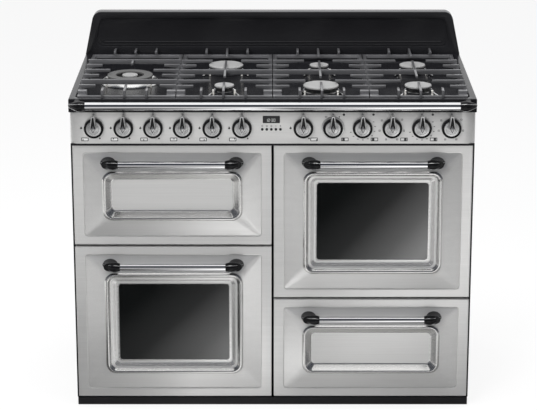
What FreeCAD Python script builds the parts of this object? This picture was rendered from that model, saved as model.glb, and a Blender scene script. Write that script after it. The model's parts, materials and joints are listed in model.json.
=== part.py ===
import FreeCAD, Part
import math
import os
from collections import namedtuple

os.makedirs("parts", exist_ok=True)

V = FreeCAD.Vector
Rect = namedtuple("Rect", "x0 x1 z0 z1")
QUARTER = math.pi / 2

# Range cooker, millimetres. X runs to the right, Y to the back, Z up, with the floor at zero.
# The cooker is centred on X and its box, from the front rail to the back, is centred on Y.

# Whole cooker
worktop_width = 1100.0
worktop_depth = 600.0
rim_height = 895.0
guard_height = 125.0
body_side_inset = 4.0
front_side_inset = 5.0
panel_side_inset = 2.0
body_width = worktop_width - 2 * body_side_inset
front_span = worktop_width - 2 * front_side_inset
panel_width = worktop_width - 2 * panel_side_inset

# Clearances
seat = 0.3
running = 0.08
overrun = 5.0
side_play = 1.0

# Sheet and wall thicknesses
sheet = 1.5
frame_sheet = 2.0
cavity_sheet = 1.2
skin_sheet = 1.5
glass_thickness = 4.0

# Front planes, measured back from the worktop edge
rail_radius = 11.0
rail_reach = 27.0
cap_swell = 4.0
panel_setback = 8.0
door_setback = 26.0
door_thickness = 32.0
skin_depth = 18.0
seal_gap = 4.0
y_back = (worktop_depth + rail_reach + rail_radius + cap_swell) / 2
y_edge = y_back - worktop_depth
y_panel = y_edge + panel_setback
y_door = y_edge + door_setback
y_frame = y_door + door_thickness + seal_gap
y_cavity = y_frame + frame_sheet

# Heights
plinth_clear = 3.0
plinth_top = 25.0
base_bottom = 28.0
door_bottom = 29.0
door_top = 762.0
panel_bottom = 767.0
skirt_height = 33.0
panel_top = rim_height - skirt_height
top_rail_height = 28.0

# Doors and drawer front
centre_gap = 6.0
row_gap = 6.0
grill_door_height = 285.5
drawer_height = 288.0

# Pressed fronts
edge_round = 1.5
facet_inset_x = 28.0
facet_inset_z = 24.0
facet_step = 2.0
facet_rise = 12.0
ring_inset_x = 80.0
ring_inset_z = 73.0
ring_radius = 28.0
bead_width = 19.0
bead_height = 5.0
bead_chamfer = 4.5
field_drop = 1.0
window_inset_x = 118.0
window_inset_z = 109.0
glass_lap = 10.0

# Door liners and hinges
liner_inset = 1.0
inner_window_spread = 6.0
pivot_inset = 8.0
pin_radius = 2.5
lug_radius = 3.8
lug_width = 6.0
hinge_inset = 60.0
cheek_width = 12.0
cheek_height = 22.0

# Handles and front rail
handle_radius = 10.0
handle_reach = 40.0
handle_drop = 47.0
handle_inset = 126.0
cap_length = 50.0
cap_collar = 1.0
cap_tip = 2.5
cap_shoulder = 14.0
foot_width = 22.0
foot_centre = 21.0
foot_flare_share = 1.7
foot_height = 9.0
foot_lift = -6.0
rail_inset = 47.0
rail_cap_length = 46.0

# Oven cavities and drawer opening, inset from the door edges
cavity_depth = 400.0
cavity_flange = 10.0
opening_inset_x = 54.0
opening_inset_z = 42.0
drawer_opening_inset = 20.0
seal_width = 8.0

# Drawer
drawer_depth = 430.0
drawer_wall = 1.5
drawer_side_gap = 16.0
drawer_floor_gap = 12.0
drawer_box_height = 190.0
runner_length = 440.0
runner_thickness = 12.0
runner_half_height = 14.0
runner_height = 140.0
rail_half_height = 8.0
rail_depth = 9.0
drawer_rail_length = 410.0

# Knobs and control panel
knob_height = 813.0
knob_first = 83.0
knob_pitch = 80.0
knobs_per_side = 6
gas_knobs_per_right = 1
knob_radius = 26.7
bezel_knob_radius = 31.0
knob_face_depth = 14.0
knob_depth = 32.0
knob_gap = 0.6
grip_point = 36.0
grip_half_width = 9.5
grip_tail = 17.0
grip_point_half_width = 4.5
grip_top_share = 0.88
spindle_radius = 3.0
spindle_length = 22.0
spindle_hole = 6.0
panel_bevel = 2.0

# Clock and its buttons
clock_offset = -3.5
clock_width = 46.5
clock_height = 20.5
clock_z = 836.6
clock_module_depth = 24.0
clock_module_margin = 8.0
button_z = 809.2
button_count = 5
button_pitch = 12.3
button_radius = 3.75
button_proud = 2.5
button_length = 8.5
button_travel = 1.5
button_play = 0.25

# Hob top and its well
hob_bevel = 1.5
well_side_inset = 18.0
well_front_inset = 16.0
well_back_inset = 4.0
well_depth = 15.0
well_radius = 18.0
skirt_lip = 14.0

# Backguard
guard_depth = 38.0
guard_shoulder_inset = 26.0
guard_radius = 26.0
guard_front_wall = 3.5
field_border = 24.0
field_top_border = 19.0
field_foot = 22.0
field_depth = 2.0
field_radius = 20.0

# Burners, placed by distance behind the worktop edge
outer_column = 400.0
inner_column = 133.0
front_row = 139.0
rear_row = 390.0
wide_burner_row = 263.0
cap_small = 27.0
cap_medium = 37.0
cap_large = 49.0
ring_cap_outer = 64.0
ring_cap_inner = 39.0
ring_burner_base = 82.0
centre_cap = 22.0
base_flare = 10.0
base_thickness = 4.0
crown_inset = 3.0
crown_height = 13.0
cap_thickness = 6.0
cup_radius = 18.0
cup_drop = 35.0
igniter_radius = 3.0
igniter_height = 15.0
igniter_gap = 5.0

# Pan supports, placed by distance behind the worktop edge
support_span = 529.0
support_division = 262.0
support_gap = 1.0
support_front = 27.0
support_back = 546.0
support_bar = 10.0
support_bar_height = 10.0
support_bar_top = 897.0
finger_top = 914.0
finger_width = 6.5
finger_tip_height = 7.0
finger_root_height = 11.0
finger_row_first = 84.0
finger_row_pitch = 62.8
finger_short = 45.0
finger_middle = 72.0
finger_long = 89.0
prong_pitch = 60.0
prong_overhang = 8.0
prong_reach = 41.0
centre_prong_reach = 104.0
back_prong_reach = 51.0
back_centre_reach = 106.0
spine_front = 193.0
spine_back = 390.0
corner_block = 24.0
corner_block_depth = 46.0
support_foot = 12.0

# Gas pipes, taps and switches
manifold_half = 9.0
manifold_setback = 37.0
tap_half_width = 11.0
tap_half_height = 8.0
tap_setback = 8.0
supply_radius = 4.0
supply_height = 836.0
inlet_radius = 10.5
inlet_x = -470.0
inlet_thread = 18.0
inlet_collar = 16.0
inlet_collar_length = 6.0
switch_half_width = 15.0
switch_depth = 28.0

# Heating elements, shelves, fan
element_radius = 3.5
element_drop = 22.0
element_runs = 6
element_pitch = 60.0
element_run_length = 300.0
terminal_width = 60.0
terminal_height = 26.0
terminal_thickness = 3.0
ring_element_radius = 80.0
ladder_radius = 3.0
ladder_rail_radius = 2.5
ladder_levels = 3
ladder_first = 80.0
ladder_pitch = 79.0
ladder_front = 20.0
ladder_length = 350.0
ladder_reach = 12.0
left_shelf_level = 1
right_shelf_level = 2
shelf_radius = 3.0
shelf_wire_radius = 1.8
shelf_wires = 9
shelf_front = 12.0
shelf_depth = 340.0
fan_height = 178.0
fan_radius = 72.0
fan_hub_radius = 14.0
fan_blades = 8
fan_blade_depth = 18.0
fan_blade_sheet = 1.6
fan_plate = 1.6
fan_gap = 6.0
fan_cover_radius = 102.0
fan_cover_depth = 34.0
fan_slots = 8
fan_slot_start = 26.0
fan_slot_end = 62.0
fan_slot_half_width = 5.0
motor_radius = 38.0
motor_length = 46.0
shaft_radius = 4.0

# Casing
back_inset = 22.0
back_flange = 16.0
base_lip = 20.0
divider_thickness = 2.0
divider_depth = 420.0
vent_slots = 7
vent_slot_height = 5.0
vent_slot_width = 180.0
vent_pitch = 14.0
vent_height = 640.0
foot_pad_radius = 20.0
foot_pad_height = 8.0
stud_radius = 5.0
foot_inset_x = 70.0
foot_inset_y = 70.0

# Places worked out from the sizes above
half_front = front_span / 2
half_gap = centre_gap / 2
half_body = body_width / 2
well_floor = rim_height - well_depth
cap_underside = well_floor + base_thickness + crown_height
support_bar_bottom = support_bar_top - support_bar_height

left_x = (-half_front, -half_gap)
right_x = (half_gap, half_front)
grill_door = Rect(*left_x, door_top - grill_door_height, door_top)
left_door = Rect(*left_x, door_bottom, grill_door.z0 - row_gap)
drawer_front = Rect(*right_x, door_bottom, door_bottom + drawer_height)
right_door = Rect(*right_x, drawer_front.z1 + row_gap, door_top)

# Burner: x, distance behind the worktop edge, cap radius
burners = (
    (-inner_column, rear_row, cap_large),
    (-inner_column, front_row, cap_small),
    (inner_column, rear_row, cap_small),
    (inner_column, front_row, cap_large),
    (outer_column, rear_row, cap_medium),
    (outer_column, front_row, cap_medium),
)
ring_burner = (-outer_column, wide_burner_row)

# Tap by tap, from the left, the burner that it feeds
fed_places = (
    ring_burner,
    burners[0][:2],
    burners[1][:2],
    burners[2][:2],
    burners[4][:2],
    burners[3][:2],
    burners[5][:2],
)

knob_xs = [-knob_first - knob_pitch * i for i in reversed(range(knobs_per_side))]
knob_xs += [knob_first + knob_pitch * i for i in range(knobs_per_side)]
gas_knob_xs = knob_xs[: knobs_per_side + gas_knobs_per_right]
oven_knob_xs = knob_xs[knobs_per_side + gas_knobs_per_right :]


def inset(rect, dx, dz):
    return Rect(rect.x0 + dx, rect.x1 - dx, rect.z0 + dz, rect.z1 - dz)


def box(x0, x1, y0, y1, z0, z1):
    return Part.makeBox(x1 - x0, y1 - y0, z1 - z0, V(x0, y0, z0))


def front_box(rect, y0, y1):
    return box(rect.x0, rect.x1, y0, y1, rect.z0, rect.z1)


def rod(start, end, radius):
    """A round rod between two points."""
    run = end.sub(start)
    return Part.makeCylinder(radius, run.Length, start, run)


def six_sided(start, end, radius):
    """A rod of six-sided section between two points."""
    run = end.sub(start)
    aside = V(0, 1, 0) if abs(run.x) > run.Length / 2 else V(1, 0, 0)
    across = run.cross(aside).normalize()
    along = run.cross(across).normalize()
    rings = []
    for centre in (start, end):
        ring = []
        for i in range(6):
            turn = math.pi / 3 * i
            spoke = across * (radius * math.cos(turn)) + along * (radius * math.sin(turn))
            ring.append(centre + spoke)
        rings.append(ring)
    return frustum(*rings)


def fuse(pieces):
    whole = pieces[0]
    if len(pieces) > 1:
        whole = whole.multiFuse(pieces[1:])
    return whole.removeSplitter()


def cut(whole, tools):
    return whole.cut(Part.makeCompound(tools))


def prism(points, run):
    """A flat outline pushed along a vector."""
    face = Part.Face(Part.makePolygon([*points, points[0]]))
    return face.extrude(run)


def frustum(first, second):
    """A solid with flat sides between two outlines of the same shape, given as points."""
    faces = [Part.Face(Part.makePolygon([*ring, ring[0]])) for ring in (first, second)]
    for i, start in enumerate(first):
        j = (i + 1) % len(first)
        faces.append(Part.Face(Part.makePolygon([start, first[j], second[j], second[i], start])))
    shell = Part.makeShell(faces)
    shell.sewShape()
    solid = Part.makeSolid(shell)
    if solid.Volume < 0:
        solid.reverse()
    return solid


def front_corners(rect, y):
    return [
        V(rect.x0, y, rect.z0),
        V(rect.x1, y, rect.z0),
        V(rect.x1, y, rect.z1),
        V(rect.x0, y, rect.z1),
    ]


def rounded_outline(a0, a1, b0, b1, radius, place):
    """A rectangle with round corners, placed by a function of its two directions."""
    corners = (
        (a1 - radius, b1 - radius),
        (a0 + radius, b1 - radius),
        (a0 + radius, b0 + radius),
        (a1 - radius, b0 + radius),
    )
    ends = []
    edges = []
    for turn, (a, b) in enumerate(corners):
        at = [turn * QUARTER + QUARTER * share for share in (0, 1 / 2, 1)]
        points = [place(a + radius * math.cos(t), b + radius * math.sin(t)) for t in at]
        ends.append((points[0], points[-1]))
        edges.append(Part.Arc(*points).toShape())
    wire = []
    for i, arc in enumerate(edges):
        following = ends[(i + 1) % len(edges)][0]
        wire += [arc, Part.LineSegment(ends[i][1], following).toShape()]
    return Part.Wire(wire)


def front_outline(rect, radius, y):
    return rounded_outline(*rect, radius, lambda a, b: V(a, y, b))


def front_slab(rect, radius, y0, y1):
    """A plate with round corners that faces the front."""
    return Part.Face(front_outline(rect, radius, y0)).extrude(V(0, y1 - y0, 0))


def plan_slab(x0, x1, y0, y1, radius, z0, z1):
    """A level plate with round corners."""
    outline = rounded_outline(x0, x1, y0, y1, radius, lambda a, b: V(a, b, z0))
    return Part.Face(outline).extrude(V(0, 0, z1 - z0))


def turned(profile, centre, axis):
    """A turned piece from (radius, height) points, on an axis along Y or Z."""
    if axis == "z":
        points = [V(centre.x + r, centre.y, centre.z + h) for r, h in profile]
        way = V(0, 0, 1)
    else:
        points = [V(centre.x + r, centre.y + h, centre.z) for r, h in profile]
        way = V(0, 1, 0)
    face = Part.Face(Part.makePolygon([*points, points[0]]))
    solid = face.revolve(centre, way, 360)
    if solid.Volume < 0:
        solid.reverse()
    return solid


def edges_at_y(shape, y):
    """The edges that lie wholly in one front plane."""
    found = []
    for edge in shape.Edges:
        box_of = edge.BoundBox
        if abs(box_of.YMin - y) < seat / 10 and abs(box_of.YMax - y) < seat / 10:
            found.append(edge)
    return found


def save(name, pieces):
    """Write one sub-part, a piece or a group of separate pieces."""
    if not isinstance(pieces, (list, tuple)):
        pieces = [pieces]
    solids = [solid for piece in pieces for solid in piece.Solids]
    shape = solids[0] if len(solids) == 1 else Part.makeCompound(solids)
    shape.exportStep("parts/" + name + ".step")


# Pressed fronts of the doors and the drawer


def pressed_outside(rect):
    """Flat border, sloping facets, rounded bead and sunken field."""
    crest = y_door - facet_rise - bead_height
    slab = front_box(rect, y_door, y_door + skin_depth)
    slab = slab.makeChamfer(edge_round, edges_at_y(slab, y_door))
    facets = inset(rect, facet_inset_x, facet_inset_z)
    ring = inset(rect, ring_inset_x, ring_inset_z)
    field = inset(ring, bead_width, bead_width)
    groove = front_box(facets, y_door - overrun, y_door + facet_step)
    slope = frustum(
        front_corners(facets, y_door + facet_step),
        front_corners(ring, y_door - facet_rise),
    )
    bead = front_slab(ring, ring_radius, crest, y_door + facet_step)
    hollow = front_slab(field, ring_radius - bead_width, crest - overrun, y_door + field_drop)
    bead = bead.cut(hollow)
    bead = bead.makeChamfer(bead_chamfer, edges_at_y(bead, crest))
    slope = slope.cut(hollow)
    return fuse([slab.cut(groove), slope, bead])


def pressed_inside(rect):
    """The hollow behind a pressed front."""
    back = y_door + skin_depth + overrun
    step = y_door + facet_step + skin_sheet
    facets = inset(rect, facet_inset_x + skin_sheet, facet_inset_z + skin_sheet)
    ring = inset(rect, ring_inset_x + skin_sheet, ring_inset_z + skin_sheet)
    spread = bead_width - skin_sheet - skin_sheet
    field = inset(ring, spread, spread)
    slope = frustum(
        front_corners(facets, step),
        front_corners(ring, y_door - facet_rise + skin_sheet),
    )
    plate = front_box(field, y_door - facet_rise, y_door + field_drop + skin_sheet)
    behind = front_box(inset(rect, skin_sheet, skin_sheet), step, back)
    return fuse([behind, slope]).cut(plate)


def hinge_places(rect):
    return (rect.x0 + hinge_inset, rect.x1 - hinge_inset)


def hinge_slot(rect, x):
    """The room that the fixed lug needs inside a door, from closed to open."""
    half = lug_width / 2 + side_play
    reach = lug_radius + side_play / 2
    return box(
        x - half,
        x + half,
        y_door + pivot_inset - reach,
        y_frame + overrun,
        rect.z0 - overrun,
        rect.z0 + pivot_inset + reach,
    )


def door_skin(rect, has_window, has_hinges):
    skin = pressed_outside(rect).cut(pressed_inside(rect))
    tools = []
    if has_window:
        window = inset(rect, window_inset_x, window_inset_z)
        tools.append(front_box(window, y_door - overrun, y_door + skin_depth))
    if has_hinges:
        tools += [hinge_slot(rect, x) for x in hinge_places(rect)]
    return cut(skin, tools) if tools else skin


def window_panes(rect):
    """The outer pane behind the skin and the inner pane in front of the liner plate."""
    window = inset(rect, window_inset_x - glass_lap, window_inset_z - glass_lap)
    front = y_door + field_drop + skin_sheet
    back = y_door + door_thickness - sheet
    outer = front_box(window, front, front + glass_thickness)
    spread = glass_lap
    inner = front_box(inset(window, -spread, -spread), back - glass_thickness, back)
    return [outer, inner]


def door_liner(rect, has_window, has_hinges):
    """The tray behind a skin, with a bored hinge block round each lug."""
    shape = inset(rect, liner_inset, liner_inset)
    back = y_door + door_thickness
    liner = front_box(shape, y_door + skin_depth, back)
    inside = inset(shape, sheet, sheet)
    liner = liner.cut(front_box(inside, y_door, back - sheet))
    if has_window:
        spread = inner_window_spread
        window = inset(rect, window_inset_x - spread, window_inset_z - spread)
        liner = liner.cut(front_box(window, y_door, back + overrun))
    if not has_hinges:
        return liner
    blocks = []
    slots = []
    half = lug_width / 2 + side_play + cheek_width
    pivot = rect.z0 + pivot_inset
    for x in hinge_places(rect):
        blocks.append(
            box(
                x - half,
                x + half,
                y_door + facet_step + skin_sheet + seat,
                back - sheet,
                rect.z0 + skin_sheet + seat,
                rect.z0 + cheek_height,
            )
        )
        slots.append(hinge_slot(rect, x))
        axle = V(x - half - overrun, y_door + pivot_inset, pivot)
        far = V(x + half + overrun, y_door + pivot_inset, pivot)
        slots.append(rod(axle, far, pin_radius + running))
    return cut(fuse([liner, *blocks]), slots)


def leaf_section(x, y, z, radius):
    """A six-sided section across X with one corner to the front."""
    points = []
    for i in range(6):
        turn = math.pi / 3 * i
        points.append(V(x, y - radius * math.cos(turn), z + radius * math.sin(turn)))
    return points


def end_cap(x_bar, way, length, radius, y, z, y_seat, lift):
    """A faceted leaf-shaped cap on a bar end, with a foot back to its seat."""
    shoulder = x_bar + way * cap_shoulder
    tip = x_bar + way * length
    collar = leaf_section(x_bar, y, z, radius + cap_collar)
    swell = leaf_section(shoulder, y, z, radius + cap_swell)
    point = leaf_section(tip, y, z, cap_tip)
    cap = fuse([frustum(collar, swell), frustum(swell, point)])
    centre = x_bar + way * foot_centre

    def foot_outline(share, rise, y_at):
        half = foot_width / 2 * share
        tall = foot_height * share
        return [
            V(centre - half, y_at, z + rise),
            V(centre, y_at, z + rise + tall),
            V(centre + half, y_at, z + rise),
            V(centre, y_at, z + rise - tall),
        ]

    foot = frustum(foot_outline(1, 0, y), foot_outline(foot_flare_share, lift, y_seat))
    return cap, foot


def bar_handle(rect, front):
    """A round bar with two end caps whose feet follow the pressed front."""
    y = y_door - handle_reach
    z = rect.z1 - handle_drop
    x0 = rect.x0 + handle_inset
    x1 = rect.x1 - handle_inset
    bar = rod(V(x0, y, z), V(x1, y, z), handle_radius)
    pieces = [bar]
    for x, way in ((x0, -1), (x1, 1)):
        cap, foot = end_cap(x, way, cap_length, handle_radius, y, z, y_door + skin_depth, foot_lift)
        pieces.append(fuse([cap, foot.cut(front)]))
    return pieces


# Doors, their fixed hinges and the drawer


def hinge_lugs():
    """Fixed lugs on the frame, each with the pin that a door turns on."""
    lugs = []
    half = lug_width / 2
    reach = half + side_play + cheek_width
    y = y_door + pivot_inset
    for rect in (grill_door, left_door, right_door):
        z = rect.z0 + pivot_inset
        for x in hinge_places(rect):
            arm = box(x - half, x + half, y, y_frame, z - lug_radius, z + lug_radius)
            nose = six_sided(V(x - half, y, z), V(x + half, y, z), lug_radius)
            pin = rod(V(x - reach, y, z), V(x + reach, y, z), pin_radius)
            lugs.append(fuse([arm, nose, pin]))
    return lugs


def opening_of(rect):
    if rect is drawer_front:
        return inset(rect, drawer_opening_inset, drawer_opening_inset)
    return inset(rect, opening_inset_x, opening_inset_z)


def front_frame():
    """The plate that carries the cavities, with the hinge lugs on it."""
    half = half_body - sheet
    plate = box(-half, half, y_frame, y_cavity, base_bottom, door_top + top_rail_height)
    doors = (grill_door, left_door, right_door, drawer_front)
    holes = [front_box(opening_of(rect), y_frame - overrun, y_cavity + overrun) for rect in doors]
    return fuse([cut(plate, holes), *hinge_lugs()])


def cavity(rect):
    """An open enamelled box with a flange that seats on the frame."""
    mouth = opening_of(rect)
    wall = inset(mouth, -cavity_sheet, -cavity_sheet)
    flange = inset(mouth, -cavity_flange, -cavity_flange)
    back = y_cavity + cavity_depth
    shell = fuse(
        [
            front_box(wall, y_cavity, back),
            front_box(flange, y_cavity, y_cavity + cavity_sheet),
        ]
    )
    return shell.cut(front_box(mouth, y_cavity - overrun, back - cavity_sheet))


def door_seal(rect):
    mouth = opening_of(rect)
    outer = inset(mouth, -seal_width, -seal_width)
    front = y_door + door_thickness + seat
    ring = front_box(outer, front, y_frame)
    return ring.cut(front_box(mouth, front - overrun, y_frame + overrun))


def drawer_sides():
    mouth = opening_of(drawer_front)
    return mouth.x0 + drawer_side_gap, mouth.x1 - drawer_side_gap


def drawer_box():
    """The tray that hangs behind the drawer front, with a slide rail on each side."""
    front = door_liner(drawer_front, False, False)
    mouth = opening_of(drawer_front)
    x0, x1 = drawer_sides()
    z0 = mouth.z0 + drawer_floor_gap
    z1 = z0 + drawer_box_height
    y0 = y_door + door_thickness
    y1 = y_cavity + drawer_depth
    tray = box(x0, x1, y0, y1, z0, z1)
    hollow = box(
        x0 + drawer_wall,
        x1 - drawer_wall,
        y0 + drawer_wall,
        y1 - drawer_wall,
        z0 + drawer_wall,
        z1 + overrun,
    )
    rails = []
    rail_start = y_cavity
    for side, way in ((x0, -1), (x1, 1)):
        xs = sorted((side, side + way * rail_depth))
        rails.append(
            box(
                *xs,
                rail_start,
                rail_start + drawer_rail_length,
                runner_height - rail_half_height,
                runner_height + rail_half_height,
            )
        )
    return fuse([front, tray.cut(hollow), *rails])


def drawer_runners():
    """Fixed channels that the drawer rails slide in."""
    mouth = opening_of(drawer_front)
    x0, x1 = drawer_sides()
    runners = []
    for side, way, edge in ((x0, -1, mouth.x0), (x1, 1, mouth.x1)):
        near = side + way * seat
        far = side + way * (seat + runner_thickness)
        groove_end = side + way * (rail_depth + seat)
        channel = box(
            *sorted((near, far)),
            y_cavity,
            y_cavity + runner_length,
            runner_height - runner_half_height,
            runner_height + runner_half_height,
        )
        groove = box(
            *sorted((near - way * overrun, groove_end)),
            y_cavity - overrun,
            y_cavity + runner_length - frame_sheet,
            runner_height - rail_half_height - seat,
            runner_height + rail_half_height + seat,
        )
        tab = box(
            *sorted((far, edge + way * cavity_flange)),
            y_cavity,
            y_cavity + frame_sheet,
            runner_height - runner_half_height,
            runner_height + runner_half_height,
        )
        runners.append(fuse([channel.cut(groove), tab]))
    return runners


# Control panel, knobs and clock


def control_panel():
    """A folded steel front with a hole for each spindle, button and the clock."""
    half = panel_width / 2
    shell = box(-half, half, y_panel, y_frame, panel_bottom, panel_top)
    lower = [edge for edge in edges_at_y(shell, y_panel) if edge.BoundBox.ZMax < knob_height]
    shell = shell.makeChamfer(panel_bevel, [edge for edge in lower if edge.BoundBox.XLength > half])
    inner = box(
        -half + sheet,
        half - sheet,
        y_panel + sheet,
        y_frame + overrun,
        panel_bottom + sheet,
        panel_top - sheet,
    )
    holes = []
    for x in knob_xs:
        hole = Rect(x - spindle_hole, x + spindle_hole, knob_height - spindle_hole, knob_height + spindle_hole)
        holes.append(front_box(hole, y_panel - overrun, y_panel + overrun))
    for x in button_xs():
        near = V(x, y_panel - overrun, button_z)
        holes.append(rod(near, V(x, y_panel + overrun, button_z), button_radius + button_play))
    holes.append(front_box(clock_rect(), y_panel - overrun, y_panel + overrun))
    return shell.cut(inner).cut(Part.makeCompound(holes))


def clock_rect():
    half = clock_width / 2
    rise = clock_height / 2
    return Rect(clock_offset - half, clock_offset + half, clock_z - rise, clock_z + rise)


def button_xs():
    middle = (button_count - 1) / 2
    return [clock_offset + button_pitch * (i - middle) for i in range(button_count)]


def clock_and_switches():
    """The clock pane and module, and a switch body behind each oven knob."""
    pane = front_box(clock_rect(), y_panel, y_panel + sheet)
    margin = clock_module_margin
    face = clock_rect()
    module = box(
        face.x0 - margin,
        face.x1 + margin,
        y_panel + sheet,
        y_panel + sheet + clock_module_depth,
        button_z - margin,
        face.z1 + margin,
    )
    pocket_end = y_panel - button_proud + button_length + button_travel + side_play
    reach = button_radius + side_play
    xs = button_xs()
    pocket = box(xs[0] - reach, xs[-1] + reach, y_panel, pocket_end, button_z - reach, button_z + reach)
    pieces = [pane, module.cut(pocket)]
    half = switch_half_width
    for x in oven_knob_xs:
        body = box(
            x - half,
            x + half,
            y_panel + sheet,
            y_panel + sheet + switch_depth,
            knob_height - half,
            knob_height + half,
        )
        pieces.append(body.cut(spindle_bore(x)))
    return pieces


def spindle_bore(x):
    end = y_panel + spindle_length + side_play
    start = V(x, y_panel - overrun, knob_height)
    return rod(start, V(x, end, knob_height), spindle_radius + running)


def knob(x, radius):
    """A round body, a kite-shaped grip and the spindle that they turn."""
    face = -knob_face_depth
    back = V(x, y_panel - knob_gap, knob_height)
    body = rod(back, V(x, y_panel + face, knob_height), radius)

    def kite(share, y):
        wide = grip_half_width * share
        narrow = grip_point_half_width * share
        top = grip_point * share
        tail = grip_tail * share
        outline = (
            (-narrow, top - narrow),
            (0, top),
            (narrow, top - narrow),
            (wide, wide / 2),
            (wide, -wide),
            (wide / 2, -tail),
            (-wide / 2, -tail),
            (-wide, -wide),
            (-wide, wide / 2),
        )
        return [V(x + a, y_panel + y, knob_height + b) for a, b in outline]

    grip = frustum(kite(1, face), kite(grip_top_share, -knob_depth))
    spindle = rod(back, V(x, y_panel + spindle_length, knob_height), spindle_radius)
    return fuse([body, grip, spindle])


def clock_button(x):
    front = V(x, y_panel - button_proud, button_z)
    return rod(front, V(x, y_panel - button_proud + button_length, button_z), button_radius)


# Gas


def manifold_y():
    return y_panel + manifold_setback


def gas_manifold():
    """The pipe behind the panel, its rear inlet, a tap behind each gas knob, and the supply tubes."""
    y = manifold_y()
    start = gas_knob_xs[0] - tap_half_width
    end = gas_knob_xs[-1] + tap_half_width
    half = manifold_half
    low = knob_height - half
    high = knob_height + half
    back = y_back - back_inset
    main = box(start, end, y - half, y + half, low, high)
    leg = box(inlet_x - half, inlet_x + half, y, back, low, high)
    collar_start = V(inlet_x, back - inlet_collar_length, knob_height)
    wall = V(inlet_x, back, knob_height)
    collar = rod(collar_start, wall, inlet_collar)
    thread = rod(wall, V(inlet_x, back + inlet_thread, knob_height), inlet_radius)
    pipe = fuse([main, leg, collar, thread])
    pieces = [pipe]
    for x, place in zip(gas_knob_xs, fed_places):
        tap = box(
            x - tap_half_width,
            x + tap_half_width,
            y_panel + tap_setback,
            y - half,
            knob_height - tap_half_height,
            knob_height + tap_half_height,
        )
        neck = box(
            x - tap_half_height,
            x + tap_half_height,
            y_panel + tap_setback,
            y - half,
            knob_height + tap_half_height,
            supply_height + supply_radius,
        )
        tap = fuse([tap.cut(spindle_bore(x)), neck])
        pieces.append(tap)
        pieces.append(supply_tube(x, place, tap))
    return pieces


def supply_tube(x, place, tap):
    """A tube from the neck of a tap, under the hob, to the foot of a burner cup."""
    start = V(x, y_panel + tap_setback + tap_half_height, supply_height)
    end = V(place[0], y_edge + place[1], supply_height)
    top = V(end.x, end.y, well_floor - cup_drop)
    run = six_sided(start, end, supply_radius)
    return fuse([run, six_sided(V(end.x, end.y, supply_height - supply_radius), top, supply_radius)]).cut(tap)


# Hob


def hob_top():
    """A pressed tray with a raised rim, a folded skirt and a hole for each burner cup."""
    half = worktop_width / 2
    rear = y_back - guard_depth
    shell = box(-half, half, y_edge, rear, panel_top, rim_height)
    bevelled = []
    for edge in shell.Edges:
        bounds = edge.BoundBox
        upright = bounds.ZLength > skirt_height / 2 and bounds.YMax < 0
        if upright or (bounds.ZMin > rim_height - seat and bounds.YMin < rear - seat):
            bevelled.append(edge)
    shell = shell.makeChamfer(hob_bevel, bevelled)
    well = (
        -half + well_side_inset,
        half - well_side_inset,
        y_edge + well_front_inset,
        rear - well_back_inset,
    )
    pocket = plan_slab(*well, well_radius, well_floor, rim_height + overrun)
    under = box(
        -half + sheet,
        half - sheet,
        y_edge + sheet,
        rear - sheet,
        panel_top + sheet,
        rim_height - sheet,
    )
    kept = plan_slab(
        well[0] - sheet,
        well[1] + sheet,
        well[2] - sheet,
        well[3] + sheet,
        well_radius + sheet,
        well_floor - sheet,
        rim_height + overrun,
    )
    mouth = box(
        -half + skirt_lip,
        half - skirt_lip,
        y_edge + skirt_lip,
        rear - skirt_lip,
        panel_top - overrun,
        panel_top + sheet + overrun,
    )
    cups = [cup(*place[:2]) for place in (*burners, ring_burner)]
    return cut(shell.cut(pocket).cut(under.cut(kept)).cut(mouth), cups)


def cup(x, depth):
    """The six-sided gas cup of a burner, which drops through the hob."""
    top = V(x, y_edge + depth, well_floor + base_thickness / 2)
    return six_sided(V(x, top.y, well_floor - cup_drop), top, cup_radius)


def backguard():
    """A folded upstand, narrower at the top, with a pressed field."""
    half = worktop_width / 2
    shoulder = half - guard_shoulder_inset
    top = rim_height + guard_height
    front = y_back - guard_depth

    def outline(wall, foot_z, y):
        lean = wall * guard_shoulder_inset / guard_height
        return [
            V(-half + wall, y, foot_z),
            V(-half + wall, y, rim_height),
            V(-shoulder + wall - lean, y, top - wall),
            V(shoulder - wall + lean, y, top - wall),
            V(half - wall, y, rim_height),
            V(half - wall, y, foot_z),
        ]

    def rounded_top(solid, radius, height):
        edges = []
        for edge in solid.Edges:
            bounds = edge.BoundBox
            if bounds.YLength > guard_depth / 2 and bounds.ZMin > height - seat:
                edges.append(edge)
        return solid.makeFillet(radius, edges)

    outside = prism(outline(0, panel_top, front), V(0, guard_depth, 0))
    outside = rounded_top(outside, guard_radius, top)
    run = guard_depth - guard_front_wall - sheet
    inside = prism(outline(sheet, panel_top - overrun, front + guard_front_wall), V(0, run, 0))
    inside = rounded_top(inside, guard_radius - sheet, top - sheet)
    foot = rim_height + field_foot
    foot_lean = guard_shoulder_inset * (field_foot / guard_height)
    top_lean = guard_shoulder_inset * (1 - field_top_border / guard_height)
    low = half - foot_lean - field_border
    high = half - top_lean - field_border
    field_top = top - field_top_border
    y = front - overrun
    points = [V(-low, y, foot), V(-high, y, field_top), V(high, y, field_top), V(low, y, foot)]
    field = prism(points, V(0, overrun + field_depth, 0))
    corners = [edge for edge in field.Edges if edge.BoundBox.YLength > overrun]
    field = field.makeFillet(field_radius, corners)
    return outside.cut(inside).cut(field)


def crown(x, depth, radius):
    """The upright part of a burner, between its base and its cap."""
    bottom = V(x, y_edge + depth, well_floor + base_thickness)
    return rod(bottom, V(x, y_edge + depth, cap_underside), radius)


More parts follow.
